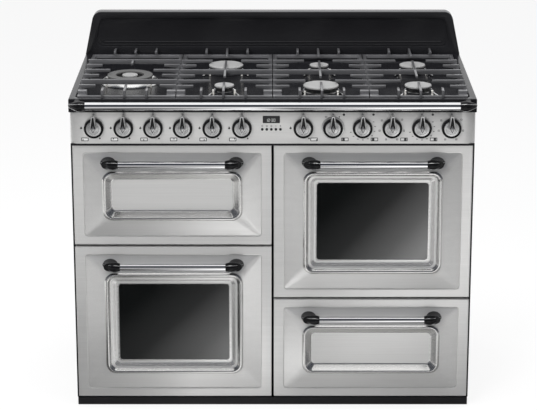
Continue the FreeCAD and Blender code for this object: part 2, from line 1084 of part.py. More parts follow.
def burner_bodies():
    """Cup, base and crown of each burner; the wide one has a ring round its centre."""
    bodies = []
    for x, depth, radius in burners:
        centre = V(x, y_edge + depth, well_floor)
        base = Part.makeCylinder(radius + base_flare, base_thickness, centre)
        bodies.append(fuse([cup(x, depth), base, crown(x, depth, radius - crown_inset)]))
    x, depth = ring_burner
    centre = V(x, y_edge + depth, well_floor)
    base = Part.makeCylinder(ring_burner_base, base_thickness, centre)
    ring = crown(x, depth, ring_cap_outer - crown_inset)
    bottom = V(x, centre.y, well_floor + base_thickness)
    ring = ring.cut(rod(bottom, V(x, centre.y, rim_height), ring_cap_inner + crown_inset))
    bodies.append(fuse([cup(x, depth), base, ring, crown(x, depth, centre_cap - crown_inset)]))
    return bodies


def burner_caps():
    """A loose cap on each burner, and a ring cap round the wide one."""
    places = [*burners, (*ring_burner, centre_cap)]
    caps = []
    for x, depth, radius in places:
        caps.append(Part.makeCylinder(radius, cap_thickness, V(x, y_edge + depth, cap_underside)))
    x, depth = ring_burner
    centre = V(x, y_edge + depth, cap_underside)
    ring = Part.makeCylinder(ring_cap_outer, cap_thickness, centre)
    caps.append(ring.cut(Part.makeCylinder(ring_cap_inner, cap_thickness, centre)))
    return caps


def igniters():
    """A spark plug and a flame sensor beside each burner."""
    pieces = []
    rims = [(x, depth, radius + base_flare) for x, depth, radius in burners]
    rims.append((*ring_burner, ring_burner_base))
    for x, depth, rim in rims:
        for turn in (-QUARTER / 2, -QUARTER * 3 / 2):
            reach = rim + igniter_gap
            px = x + reach * math.cos(turn)
            py = y_edge + depth + reach * math.sin(turn)
            foot = V(px, py, well_floor)
            pieces.append(six_sided(foot, V(px, py, well_floor + igniter_height), igniter_radius))
    return pieces


# Pan supports


def finger(root_x, root_depth, run_x, run_y, length):
    """A raised cast finger from a frame bar, thinner at its tip."""
    outline = (
        (0, support_bar_bottom),
        (0, finger_top),
        (length, finger_top),
        (length, finger_top - finger_tip_height),
        (support_bar, finger_top - finger_root_height),
        (support_bar, support_bar_bottom),
    )
    half = finger_width / 2
    side = V(-run_y * half, run_x * half, 0)
    points = []
    for along, z in outline:
        points.append(V(root_x + run_x * along, y_edge + root_depth + run_y * along, z).sub(side))
    return prism(points, V(side.x + side.x, side.y + side.y, 0))


def bridge(x0, x1, depth):
    """A raised bar from one side of the frame to the other."""
    half = finger_width / 2
    y = y_edge + depth
    beam = box(x0, x1, y - half, y + half, finger_top - finger_tip_height * 2, finger_top)
    ends = []
    for a, b in ((x0, x0 + support_bar), (x1 - support_bar, x1)):
        ends.append(box(a, b, y - half, y + half, support_bar_bottom, finger_top))
    return [beam, *ends]


def support_frame(x0, x1):
    """The low frame with its four feet and stepped front corners."""
    front = y_edge + support_front
    back = y_edge + support_back
    outer = box(x0, x1, front, back, support_bar_bottom, support_bar_top)
    inner = box(
        x0 + support_bar,
        x1 - support_bar,
        front + support_bar,
        back - support_bar,
        support_bar_bottom - overrun,
        support_bar_top + overrun,
    )
    pieces = [outer.cut(inner)]
    for x in (x0, x1 - support_foot):
        for y in (front, back - support_foot):
            pieces.append(
                box(x, x + support_foot, y, y + support_foot, well_floor + seat, support_bar_bottom)
            )
    for a, b in ((x0, x0 + corner_block), (x1 - corner_block, x1)):
        pieces.append(box(a, b, front, front + corner_block_depth, support_bar_bottom, support_bar_top))
        rise = (support_bar_top + finger_top) / 2
        half_block = front + corner_block_depth / 2
        pieces.append(box(a, b, half_block, front + corner_block_depth, support_bar_top, rise))
    return pieces


def pan_support(x0, x1, column, over_ring):
    """A cast frame with rows of fingers; the ring burner has its own arrangement."""
    pieces = support_frame(x0, x1)
    if over_ring:
        rows = (finger_short, None, finger_short, finger_middle, finger_short, None)
        first = finger_row_first + finger_width
    else:
        rows = (finger_short, finger_long, finger_short, None, finger_short, finger_long)
        first = finger_row_first
    for i, length in enumerate(rows):
        depth = first + finger_row_pitch * i
        if length is None:
            pieces += bridge(x0, x1, depth)
            continue
        pieces.append(finger(x0, depth, 1, 0, length))
        pieces.append(finger(x1, depth, -1, 0, length))
    front_reach = (prong_reach, centre_prong_reach, prong_reach)
    back_reach = (back_prong_reach, back_centre_reach, back_prong_reach)
    if over_ring:
        back_reach = (back_prong_reach,) * len(front_reach)
        front_reach = (prong_reach, (prong_reach + centre_prong_reach) / 2 + prong_overhang, prong_reach)
    for i, (ahead, behind) in enumerate(zip(front_reach, back_reach)):
        x = column + prong_pitch * (i - 1)
        pieces.append(finger(x, support_front - prong_overhang, 0, 1, ahead))
        pieces.append(finger(x, support_back + prong_overhang, 0, -1, behind))
    half = finger_width / 2
    low = finger_top - finger_tip_height
    if over_ring:
        back_bridge = first + finger_row_pitch * (len(rows) - 1)
        spine = (back_bridge - back_prong_reach, back_bridge)
    else:
        spine = (spine_front, spine_back)
    spine_box = box(column - half, column + half, y_edge + spine[0], y_edge + spine[1], low, finger_top)
    pieces.append(spine_box)
    return fuse(pieces)


def pan_supports():
    edges = (-support_span, -support_division, 0, support_division, support_span)
    columns = (-outer_column, -inner_column, inner_column, outer_column)
    supports = []
    for i, column in enumerate(columns):
        x0 = edges[i] + support_gap
        x1 = edges[i + 1] - support_gap
        supports.append(pan_support(x0, x1, column, i == 0))
    return supports


def front_rail():
    """The towel rail along the worktop edge, with its two end caps."""
    half = worktop_width / 2 - rail_inset
    y = y_edge - rail_reach
    z = rim_height - (skirt_height - rail_radius / 2) / 2
    pieces = [rod(V(-half, y, z), V(half, y, z), rail_radius)]
    for x, way in ((-half, -1), (half, 1)):
        cap, foot = end_cap(x, way, rail_cap_length, rail_radius, y, z, y_edge, 0)
        pieces.append(fuse([cap, foot]))
    return pieces


# Casing


def side_panels():
    panels = []
    for way in (-1, 1):
        outer = way * half_body
        inner = way * (half_body - sheet)
        flange = way * (half_body - back_flange)
        plate = box(*sorted((outer, inner)), y_frame, y_back, plinth_top, panel_top)
        fold = box(*sorted((outer, flange)), y_back - sheet, y_back, plinth_top, panel_top)
        panels.append(fuse([plate, fold]))
    return panels


def chassis_panels():
    """Base pan, centre divider and back panel with its vents."""
    half = half_body - sheet
    back = y_back - back_inset
    base = box(-half, half, y_cavity, back, base_bottom, base_bottom + sheet)
    lip = box(-half, half, y_cavity, y_cavity + sheet, base_bottom, base_bottom + base_lip)
    divide = divider_thickness / 2
    divider = box(
        -divide,
        divide,
        y_cavity,
        y_cavity + divider_depth,
        base_bottom + base_lip,
        door_top + top_rail_height,
    )
    tab = box(
        -divide,
        divide,
        y_cavity + sheet,
        y_cavity + divider_depth,
        base_bottom + sheet,
        base_bottom + base_lip,
    )
    rear = box(-half, half, back - sheet, back, base_bottom + sheet, rim_height - skirt_height)
    holes = []
    for column in (-1, 1):
        centre = column * half / 2
        for i in range(vent_slots):
            z = vent_height + vent_pitch * i
            wide = vent_slot_width / 2
            vent = box(centre - wide, centre + wide, back - overrun, back + overrun, z, z + vent_slot_height)
            holes.append(vent)
    start = V(inlet_x, back - overrun, knob_height)
    holes.append(rod(start, V(inlet_x, back + overrun, knob_height), inlet_collar))
    return [fuse([base, lip]), fuse([divider, tab]), cut(rear, holes)]


def plinth():
    """A dark base strip round the front and sides, screwed up to the base pan."""
    half = panel_width / 2
    front = y_door + facet_step
    rear = y_back - foot_inset_y / 2
    strip = box(-half, half, front, front + sheet, plinth_clear, plinth_top)
    pieces = [strip]
    inner = half_body - sheet - sheet
    for way in (-1, 1):
        low = box(*sorted((way * half, way * inner)), front, y_frame, plinth_clear, plinth_top)
        thin = sorted((way * inner, way * (inner - sheet)))
        side = box(*thin, front, rear, plinth_clear, plinth_top)
        high = box(*thin, y_cavity + side_play, rear, plinth_top, base_bottom)
        pieces += [low, side, high]
    return fuse(pieces)


def levelling_feet():
    feet = []
    half = half_body - foot_inset_x
    for x in (-half, half):
        for y in (y_cavity + foot_inset_y, y_back - foot_inset_y):
            pad = Part.makeCylinder(foot_pad_radius, foot_pad_height, V(x, y, 0))
            stud = six_sided(V(x, y, foot_pad_height / 2), V(x, y, base_bottom), stud_radius)
            feet.append(fuse([pad, stud]))
    return feet


# Inside the ovens


def terminal(x, z):
    """The plate that holds an element to the back wall of a cavity."""
    back = y_cavity + cavity_depth - cavity_sheet
    half = terminal_width / 2
    rise = terminal_height / 2
    return box(x - half, x + half, back - terminal_thickness, back, z - rise, z + rise)


def serpentine_element(rect):
    """A heating element in straight runs, joined at their ends, under the roof of a cavity."""
    mouth = opening_of(rect)
    middle = (mouth.x0 + mouth.x1) / 2
    z = mouth.z1 - element_drop
    wall = y_cavity + cavity_depth - cavity_sheet - element_radius
    near = wall - element_run_length
    far = wall - element_pitch
    xs = [middle + element_pitch * (i - (element_runs - 1) / 2) for i in range(element_runs)]
    corners = [(xs[0], wall, z)]
    for i, x in enumerate(xs):
        ahead = (near, far) if i % 2 else (far, near)
        corners += [(x, ahead[0], z), (x, ahead[1], z)]
    corners.append((xs[-1], wall, z))
    runs = [bar_along(*pair, element_radius) for pair in zip(corners, corners[1:])]
    runs.append(bar_along(corners[0], corners[-1], element_radius))
    return fuse([terminal(middle, z), *runs])


def fan_centre():
    mouth = opening_of(right_door)
    return (mouth.x0 + mouth.x1) / 2, mouth.z0 + fan_height


def ring_element():
    """A round element about the fan, held by its own terminal plate."""
    x, z = fan_centre()
    back = y_cavity + cavity_depth - cavity_sheet
    y = back - fan_cover_depth / 2
    front = V(x, y - element_radius, z)
    rear = V(x, y + element_radius, z)
    ring = rod(front, rear, ring_element_radius + element_radius)
    ring = ring.cut(rod(front, rear, ring_element_radius - element_radius))
    plate_z = z + ring_element_radius
    leg = box(
        x - element_radius,
        x + element_radius,
        y,
        back,
        plate_z - element_radius,
        plate_z + element_radius,
    )
    return fuse([ring, terminal(x, plate_z), leg])


def heating_elements():
    return [serpentine_element(grill_door), serpentine_element(left_door), ring_element()]


def ladder_level(rect, level):
    return opening_of(rect).z0 + ladder_first + ladder_pitch * level


def bar_along(start, end, half):
    """A square bar between two points that differ along one axis only."""
    low = [min(a, b) - half for a, b in zip(start, end)]
    high = [max(a, b) + half for a, b in zip(start, end)]
    return box(low[0], high[0], low[1], high[1], low[2], high[2])


def shelf_ladders():
    """Racks on the side walls that carry the shelves."""
    ladders = []
    front = y_cavity + ladder_front
    back = front + ladder_length
    ends = (front + ladder_length / 6, back - ladder_length / 6)
    for rect in (left_door, right_door):
        mouth = opening_of(rect)
        for wall, way in ((mouth.x0, 1), (mouth.x1, -1)):
            x = wall + way * (ladder_radius + seat)
            reach = wall + way * (ladder_reach - ladder_rail_radius)
            top = ladder_level(rect, ladder_levels - 1) + ladder_pitch / 2
            low = ladder_level(rect, 0) - ladder_pitch / 2
            wires = [bar_along((x, y, low), (x, y, top), ladder_radius) for y in ends]
            for level in range(ladder_levels):
                z = ladder_level(rect, level)
                wires.append(bar_along((reach, front, z), (reach, back, z), ladder_rail_radius))
                for y in ends:
                    wires.append(bar_along((x, y, z), (reach, y, z), ladder_rail_radius))
            ladders.append(fuse(wires))
    return ladders


def oven_shelf(rect, level):
    """A shelf of bars that rests on one pair of ladder rails."""
    mouth = opening_of(rect)
    play = ladder_radius + ladder_radius + seat + side_play
    x0 = mouth.x0 + play + shelf_radius
    x1 = mouth.x1 - play - shelf_radius
    y0 = y_cavity + shelf_front + shelf_radius
    y1 = y0 + shelf_depth
    z = ladder_level(rect, level) + ladder_rail_radius + shelf_radius + seat
    corners = ((x0, y0, z), (x1, y0, z), (x1, y1, z), (x0, y1, z))
    wires = []
    for i, corner in enumerate(corners):
        wires.append(bar_along(corner, corners[(i + 1) % len(corners)], shelf_radius))
    step = (x1 - x0) / (shelf_wires + 1)
    for i in range(shelf_wires):
        x = x0 + step * (i + 1)
        wires.append(bar_along((x, y0, z), (x, y1, z), shelf_wire_radius))
    return fuse(wires)


def fan_unit():
    """The perforated cover in the oven, and the motor and shaft behind its back wall."""
    x, z = fan_centre()
    wall = y_cavity + cavity_depth
    front = wall - cavity_sheet - fan_cover_depth
    cover = rod(V(x, front, z), V(x, front + fan_plate, z), fan_cover_radius)
    half = fan_slot_half_width
    slots = []
    for i in range(fan_slots):
        radial = Rect(x + fan_slot_start, x + fan_slot_end, z - half, z + half)
        slot = front_box(radial, front - overrun, front + overrun)
        slot.rotate(V(x, 0, z), V(0, 1, 0), 360 / fan_slots * i)
        slots.append(slot)
    legs = []
    reach = fan_cover_radius - element_radius - element_radius
    for i in range(4):
        turn = QUARTER * i + QUARTER / 2
        lx = x + reach * math.cos(turn)
        lz = z + reach * math.sin(turn)
        legs.append(six_sided(V(lx, front, lz), V(lx, wall - cavity_sheet, lz), element_radius))
    cover = fuse([cut(cover, slots), *legs])
    motor = rod(V(x, wall, z), V(x, wall + motor_length, z), motor_radius)
    shaft = rod(V(x, front + fan_plate + fan_gap, z), V(x, wall, z), shaft_radius)
    return [cover, fuse([motor, shaft])]


def fan_impeller():
    """A plate with bent blades on a hub that turns on the motor shaft."""
    x, z = fan_centre()
    wall = y_cavity + cavity_depth - cavity_sheet
    front = wall - fan_cover_depth + fan_plate + fan_gap
    back = front + fan_blade_depth
    hub = rod(V(x, front, z), V(x, back, z), fan_hub_radius)
    plate = rod(V(x, back - fan_plate, z), V(x, back, z), fan_radius)
    pieces = [hub, plate]
    half = fan_blade_sheet / 2
    reach = (x + fan_hub_radius / 2, x + fan_radius - fan_blade_sheet)
    for i in range(fan_blades):
        blade = box(*reach, front, back - fan_plate, z - half, z + half)
        blade.rotate(V(x, 0, z), V(0, 1, 0), 360 / fan_blades * i)
        pieces.append(blade)
    bore = rod(V(x, front - overrun, z), V(x, back + overrun, z), shaft_radius + running)
    return fuse(pieces).cut(bore)


def right_cavity():
    """The fan oven's cavity has a hole for the motor shaft."""
    x, z = fan_centre()
    back = y_cavity + cavity_depth
    hole = rod(V(x, back - overrun, z), V(x, back + overrun, z), shaft_radius)
    return cavity(right_door).cut(hole)


def main():
    doors = (
        ("grill_door", grill_door, False),
        ("left_door", left_door, True),
        ("right_door", right_door, True),
    )
    for name, rect, has_window in doors:
        save(name + "_skin", door_skin(rect, has_window, True))
        save(name + "_liner", door_liner(rect, has_window, True))
        save(name + "_handle", bar_handle(rect, pressed_outside(rect)))
        if has_window:
            save(name + "_glass", window_panes(rect))
    save("drawer_skin", door_skin(drawer_front, False, False))
    save("drawer_box", drawer_box())
    save("drawer_handle", bar_handle(drawer_front, pressed_outside(drawer_front)))
    save("drawer_runners", drawer_runners())

    save("side_panels", side_panels())
    save("chassis_panels", chassis_panels())
    save("front_frame", front_frame())
    save("plinth", plinth())
    save("levelling_feet", levelling_feet())
    save("grill_cavity", cavity(grill_door))
    save("left_oven_cavity", cavity(left_door))
    save("right_oven_cavity", right_cavity())
    save("door_seals", [door_seal(rect) for _, rect, _ in doors])
    save("heating_elements", heating_elements())
    save("shelf_ladders", shelf_ladders())
    save("left_shelf", oven_shelf(left_door, left_shelf_level))
    save("right_shelf", oven_shelf(right_door, right_shelf_level))
    save("fan_unit", fan_unit())
    save("fan_impeller", fan_impeller())

    save("control_panel", control_panel())
    save("clock_and_switches", clock_and_switches())
    for i, x in enumerate(gas_knob_xs):
        save("gas_knob_" + str(i + 1), knob(x, knob_radius))
    for i, x in enumerate(oven_knob_xs):
        radius = bezel_knob_radius if i == 0 else knob_radius
        save("oven_knob_" + str(i + 1), knob(x, radius))
    for i, x in enumerate(button_xs()):
        save("clock_button_" + str(i + 1), clock_button(x))

    save("gas_manifold", gas_manifold())
    save("hob_top", hob_top())
    save("backguard", backguard())
    save("burner_bodies", burner_bodies())
    save("burner_caps", burner_caps())
    save("igniters", igniters())
    save("front_rail", front_rail())
    for i, support in enumerate(pan_supports()):
        save("pan_support_" + str(i + 1), support)


main()
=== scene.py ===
import json
import math

import bmesh
import bpy
from mathutils import Matrix, Vector


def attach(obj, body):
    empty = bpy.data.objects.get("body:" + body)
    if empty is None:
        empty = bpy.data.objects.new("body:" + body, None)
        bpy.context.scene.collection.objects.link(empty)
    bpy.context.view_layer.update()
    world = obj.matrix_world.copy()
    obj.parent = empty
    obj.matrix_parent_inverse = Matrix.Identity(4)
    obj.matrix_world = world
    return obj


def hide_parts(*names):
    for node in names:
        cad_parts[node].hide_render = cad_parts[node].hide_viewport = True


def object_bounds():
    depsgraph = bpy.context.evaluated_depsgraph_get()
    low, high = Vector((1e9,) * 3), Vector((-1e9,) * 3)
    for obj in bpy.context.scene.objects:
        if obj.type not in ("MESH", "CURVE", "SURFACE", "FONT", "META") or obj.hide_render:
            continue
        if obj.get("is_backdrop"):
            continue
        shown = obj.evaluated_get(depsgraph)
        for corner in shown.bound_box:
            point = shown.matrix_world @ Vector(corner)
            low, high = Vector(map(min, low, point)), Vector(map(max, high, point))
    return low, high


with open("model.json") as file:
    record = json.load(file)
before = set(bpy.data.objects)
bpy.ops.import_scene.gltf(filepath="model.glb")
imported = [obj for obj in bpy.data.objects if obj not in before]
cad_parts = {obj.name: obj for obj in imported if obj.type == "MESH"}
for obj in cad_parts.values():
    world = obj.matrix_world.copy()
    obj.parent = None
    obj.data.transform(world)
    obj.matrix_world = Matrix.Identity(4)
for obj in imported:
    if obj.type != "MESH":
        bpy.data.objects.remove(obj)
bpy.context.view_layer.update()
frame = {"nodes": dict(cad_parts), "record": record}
nodes = frame["nodes"]
slots = {member["node"]: member["material_slot"] for member in frame["record"]["subparts"]}

# Sizes are in millimetres, as in the part's own source, and a mesh is scaled to metres when it is made.
MM = 0.001

worktop_half = 550.0
panel_half = 548.0
y_edge = -279.0
y_panel = -271.0
y_door = -253.0
y_guard = 283.0
well_floor = 880.0
panel_bottom = 767.0
panel_top = 862.0
knob_height = 813.0
gas_knob_xs = [*range(-483, -82, 80), 83]
oven_knob_xs = range(163, 484, 80)
button_xs = [-28.1, -15.8, -3.5, 8.8, 21.1]
button_height = 809.2
doors = {
    "grill_door": (-545.0, -3.0, 476.5, 762.0),
    "left_door": (-545.0, -3.0, 29.0, 470.5),
    "right_door": (3.0, 545.0, 323.0, 762.0),
    "drawer": (3.0, 545.0, 29.0, 317.0),
}
windowed = ("left_door", "right_door")
# Each burner's place across, its place behind the worktop's front edge, and its cap's radius
burners = [
    (-133.0, 390.0, 49.0),
    (-133.0, 139.0, 27.0),
    (133.0, 390.0, 27.0),
    (133.0, 139.0, 49.0),
    (400.0, 390.0, 37.0),
    (400.0, 139.0, 37.0),
]
ring_burner = (-400.0, 263.0)


# Finishes


class Shade:
    """A socket of a finish, so that what varies over a surface is written as a sum."""

    def __init__(self, tree, socket):
        self.tree = tree
        self.socket = socket

    def node(self, kind, settings, inputs, output=0):
        """Adds one node: its settings first, then the values or links of its sockets."""
        made = self.tree.nodes.new(kind)
        for key, value in settings.items():
            if key == "stops":
                set_stops(made.color_ramp, value)
            else:
                setattr(made, key, value)
        for key, value in inputs.items():
            if isinstance(value, Shade):
                self.tree.links.new(value.socket, made.inputs[key])
            else:
                made.inputs[key].default_value = value
        return Shade(self.tree, made.outputs[output])

    def maths(self, operation, first, second):
        return self.node("ShaderNodeMath", {"operation": operation}, {0: first, 1: second})

    def __add__(self, other):
        return self.maths("ADD", self, other)

    def __sub__(self, other):
        return self.maths("SUBTRACT", self, other)

    def __rsub__(self, other):
        return self.maths("SUBTRACT", other, self)

    def __mul__(self, other):
        return self.maths("MULTIPLY", self, other)

    __radd__ = __add__
    __rmul__ = __mul__

    def part(self, index):
        """One of the three numbers of a place or a direction."""
        return self.node("ShaderNodeSeparateXYZ", {}, {0: self}, index)

    def above(self, level, softness):
        """0 below a level and 1 above it, with a soft step."""
        inputs = {"Value": self, "From Min": level - softness, "From Max": level + softness}
        return self.node("ShaderNodeMapRange", {"interpolation_type": "SMOOTHSTEP"}, inputs)

    def noise(self, waves, detail=2.0):
        """Noise about 0.5, with so many waves to a metre, or so many along X, Y and Z."""
        scale = waves if isinstance(waves, tuple) else (waves, waves, waves)
        spread = self.node("ShaderNodeMapping", {}, {"Vector": self, "Scale": scale})
        return self.node("ShaderNodeTexNoise", {}, {"Vector": spread, "Scale": 1.0, "Detail": detail})

    def cells(self, scale, output=0):
        """Cells, by their distance from their seeds or by a colour each."""
        return self.node("ShaderNodeTexVoronoi", {"feature": "F1"}, {"Vector": self, "Scale": scale}, output)

    def between(self, low, high):
        """A colour that goes from low to high as this value goes from 0 to 1."""
        ends = [end if isinstance(end, Shade) else (*end, 1.0) for end in (low, high)]
        return self.node("ShaderNodeMix", {"data_type": "RGBA"}, {0: self, 6: ends[0], 7: ends[1]}, 2)


def set_stops(ramp, stops):
    """Gives a ramp its stops, each a place and a colour or a level of grey."""
    while len(ramp.elements) < len(stops):
        ramp.elements.new(0.5)
    for element, (place, colour) in zip(ramp.elements, stops):
        element.position = place
        element.color = (*colour, 1.0) if isinstance(colour, tuple) else (colour, colour, colour, 1.0)


finishes = {}


class Finish:
    """A material, its shader, and the coordinates that its pattern is written in."""

    def __init__(self, name, metallic=0.0, **fixed):
        self.name = name
        self.material = bpy.data.materials.new(name)
        self.material.use_nodes = True
        self.tree = self.material.node_tree
        self.shader = self.tree.nodes["Principled BSDF"]
        self.shader.inputs["Metallic"].default_value = metallic
        for key, value in fixed.items():
            self.shader.inputs[key.replace("_", " ")].default_value = value
        coordinates = self.tree.nodes.new("ShaderNodeTexCoord")
        self.place = Shade(self.tree, coordinates.outputs["Object"])
        self.uv = Shade(self.tree, coordinates.outputs["UV"])

    def feed(self, socket, value):
        self.tree.links.new(value.socket, self.shader.inputs[socket])

    def dressed(self, colour, roughness, height=None, distance=0.0, strength=0.5):
        """Gives the material its colour, roughness and bump, and enters it among the finishes."""
        self.feed("Base Color", colour)
        self.feed("Roughness", roughness)
        if height:
            inputs = {"Strength": strength, "Distance": distance, "Height": height}
            self.feed("Normal", height.node("ShaderNodeBump", {}, inputs))
        finishes[self.name] = self.material


def brushed_steel():
    """Steel brushed along X. Where a mesh's attribute asks for polish, the steel is smoother and more
    metallic, and lighter in colour: that lighter colour is a painted highlight.
    """
    made = Finish("brushed_steel")
    fine = made.place.noise((5.0, 950.0, 950.0), 3.0)
    broad = made.place.noise((2.0, 70.0, 70.0))
    polish = made.place.node("ShaderNodeAttribute", {"attribute_name": "polish"}, {}, 2)
    made.feed("Metallic", polish * 0.38 + 0.62)
    # Polished places are lighter in colour: a painted highlight
    colour = (fine * 0.65 + broad * 0.35 + polish * 0.5).between((0.56, 0.556, 0.548), (0.74, 0.736, 0.724))
    made.dressed(colour, fine * 0.1 + 0.27 - polish * 0.16, fine * (1.0 - polish), 0.00004)


def enamel(name, colour, rough, ior=1.5):
    """Glossy fired enamel, with a faint orange peel and dust-fine variation."""
    made = Finish(name, IOR=ior)
    cloud = made.place.noise(9.0, 3.0)
    light = tuple(c * 1.5 + 0.002 for c in colour)
    peel = made.place.noise(160.0, 1.0)
    made.dressed(cloud.between(colour, light), cloud * 0.08 + (rough - 0.04), peel, 0.00003, 0.6)


def cavity_enamel():
    """Dark grey oven enamel with fine pale flecks."""
    made = Finish("cavity_enamel")
    fleck = 1.0 - made.place.cells(420.0).above(0.16, 0.05)
    cloud = made.place.noise(14.0, 3.0)
    colour = (fleck * 0.55 + cloud * 0.25).between((0.018, 0.019, 0.023), (0.22, 0.23, 0.26))
    made.dressed(colour, cloud * 0.15 + 0.2, made.place.noise(150.0, 1.0), 0.00005)


def cast_iron():
    """Matte enamel over a sand-cast surface, rubbed smoother here and there."""
    made = Finish("cast_iron", Coat_Weight=0.9, Coat_Roughness=0.24)
    grain = made.place.noise(900.0, 3.0)
    cloud = made.place.noise(22.0)
    colour = (grain * 0.4 + cloud * 0.6).between((0.05, 0.05, 0.053), (0.115, 0.115, 0.12))
    made.dressed(colour, cloud * 0.2 + 0.3, grain, 0.00022, 0.7)


def cap_enamel(name, low, high):
    """Matte grey burner cap with a fine speckle."""
    made = Finish(name)
    grain = made.place.noise(1300.0)
    colour = (grain * 0.5 + made.place.noise(30.0) * 0.5).between(low, high)
    made.dressed(colour, grain * 0.15 + 0.45, grain, 0.00008)


def turned_metal(name, low, high, rough, rings):
    """Metal turned on a lathe: rings round the axis, read from the piece's own map."""
    made = Finish(name, 1.0)
    ring = made.uv.noise((1.5, rings, 1.0))
    colour = (ring * 0.6 + made.place.noise(45.0) * 0.4).between(low, high)
    made.dressed(colour, ring * 0.16 + (rough - 0.08), ring, 0.00006, 0.6)


def chrome():
    """Bright plating with a faint haze."""
    made = Finish("chrome", 1.0)
    haze = made.place.noise((25.0, 60.0, 60.0), 3.0)
    colour = haze.between((0.78, 0.78, 0.79), (0.88, 0.88, 0.89))
    made.dressed(colour, haze * 0.06 + 0.02, made.place.noise(70.0, 1.0), 0.00001, 0.4)


def plastic(name, colour, rough, **fixed):
    """Moulded plastic or paint with a fine satin texture."""
    made = Finish(name, **fixed)
    grain = made.place.noise(2200.0)
    light = tuple(c * 1.35 + 0.002 for c in colour)
    shade = made.place.noise(35.0).between(colour, light)
    made.dressed(shade, grain * 0.1 + (rough - 0.05), grain, 0.00002)


def zinc_steel():
    """Galvanised sheet with its spangle."""
    made = Finish("zinc_steel", 1.0)
    spangle = made.place.cells(130.0, output=1)
    grey = spangle.node("ShaderNodeSeparateColor", {}, {0: spangle})
    colour = grey.between((0.36, 0.37, 0.38), (0.6, 0.61, 0.62))
    made.dressed(colour, grey * 0.18 + 0.32, made.place.noise(300.0), 0.00003)


def element_steel():
    """Heating element, stained dark with a little brown and blue."""
    made = Finish("element_steel", 1.0)
    heat = made.place.noise(18.0, 3.0)
    colour = heat.between((0.07, 0.06, 0.055), (0.2, 0.19, 0.2))
    made.dressed(colour, heat * 0.2 + 0.4, made.place.noise(800.0), 0.00005)


def seal_rubber():
    """The braided door seal."""
    made = Finish("seal_rubber")
    braid = made.place.cells(650.0)
    colour = braid.between((0.012, 0.012, 0.013), (0.05, 0.05, 0.052))
    made.dressed(colour, braid * 0.2 + 0.6, braid, 0.0003, 0.7)


def oven_glass():
    """Dark tinted glass, a little uneven, that lets the oven show faintly."""
    made = Finish("oven_glass", IOR=2.0)
    cloud = made.place.noise(3.0)
    made.feed("Alpha", cloud * 0.1 + 0.8)
    colour = cloud.between((0.001, 0.0015, 0.0015), (0.003, 0.004, 0.004))
    made.dressed(colour, made.place.noise(40.0) * 0.03 + 0.02)


def plain_variation(name, low, high, rough, metallic=0.0, glow=0.0):
    """A small mark, pipe or trim: nearly one tone, with a faint grain."""
    made = Finish(name, metallic)
    grain = made.place.noise(700.0)
    colour = grain.between(low, high)
    if glow:
        made.feed("Emission Color", colour)
        made.shader.inputs["Emission Strength"].default_value = glow
    made.dressed(colour, grain * 0.1 + (rough - 0.05))


enamel("black_enamel", (0.007, 0.007, 0.008), 0.24)
enamel("hob_enamel", (0.005, 0.005, 0.006), 0.24, 1.28)
cavity_enamel()
cap_enamel("cap_enamel", (0.17, 0.17, 0.17), (0.28, 0.28, 0.276))
cap_enamel("dark_cap_enamel", (0.05, 0.05, 0.05), (0.09, 0.09, 0.088))
plastic("black_paint", (0.01, 0.01, 0.011), 0.6, IOR=1.3)
plastic("black_plastic", (0.003, 0.003, 0.0035), 0.26, IOR=1.3)
plastic("button_steel", (0.012, 0.012, 0.013), 0.25)
plastic("display_glass", (0.003, 0.003, 0.004), 0.3)
brushed_steel()
zinc_steel()
element_steel()
chrome()
cast_iron()
seal_rubber()
oven_glass()
turned_metal("knob_silver", (0.55, 0.55, 0.55), (0.75, 0.75, 0.75), 0.28, 900.0)
turned_metal("burner_alloy", (0.32, 0.318, 0.31), (0.46, 0.457, 0.45), 0.33, 500.0)
turned_metal("polished_alloy", (0.74, 0.74, 0.73), (0.88, 0.88, 0.87), 0.26, 500.0)
plain_variation("pipe_alloy", (0.45, 0.45, 0.44), (0.62, 0.62, 0.61), 0.4, 1.0)
# A bright metal for painted highlights: the lines on the end caps, and the rods and studs before the burners
plain_variation("highlight_metal", (0.7, 0.7, 0.7), (0.85, 0.85, 0.85), 0.18, 1.0)
plain_variation("igniter_ceramic", (0.7, 0.68, 0.64), (0.86, 0.84, 0.8), 0.2)
plain_variation("panel_print", (0.015, 0.015, 0.016), (0.03, 0.03, 0.031), 0.5)
plain_variation("pale_print", (0.58, 0.58, 0.57), (0.68, 0.68, 0.67), 0.5)
plain_variation("display_digits", (0.3, 0.31, 0.3), (0.42, 0.43, 0.42), 0.4, glow=0.5)

for node, slot in slots.items():
    nodes[node].data.materials.clear()
    nodes[node].data.materials.append(finishes[slot])


# Ways of making a shape


def linked(name, data):
    """A new object in the scene."""
    made = bpy.data.objects.new(name, data)
    bpy.context.scene.collection.objects.link(made)
    return made


def smoothed(mesh, sharp=32.0):
    """Smooth shading, but for the edges that turn by more than an angle."""
    mesh.shade_smooth()
    mesh.set_sharp_from_angle(angle=math.radians(sharp))
    return mesh


def plain_mesh(work, name="mesh"):
    """Work on a shape, turned into a mesh as it is."""
    mesh = bpy.data.meshes.new(name)
    work.to_mesh(mesh)
    work.free()
    return mesh


def made_mesh(work, sharp=32.0):
    """Turns work in millimetres into a mesh in metres, smooth but for its sharp edges."""
    bmesh.ops.recalc_face_normals(work, faces=work.faces)
    bmesh.ops.scale(work, vec=(MM, MM, MM), verts=work.verts)
    return smoothed(plain_mesh(work), sharp)


def evaluated(bench):
    """The mesh that an object's modifiers give; the object and its modifiers go."""
    bpy.context.view_layer.update()
    graph = bpy.context.evaluated_depsgraph_get()
    result = bpy.data.meshes.new_from_object(bench.evaluated_get(graph))
    bench.modifiers.clear()
    bpy.data.objects.remove(bench)
    return smoothed(result)


def worked(mesh, kind, **settings):
    """Runs one modifier over a mesh and returns the result as a plain mesh."""
    bench = linked("bench", mesh)
    step = bench.modifiers.new(kind, kind)
    for key, value in settings.items():
        setattr(step, key, value)
    return evaluated(bench)


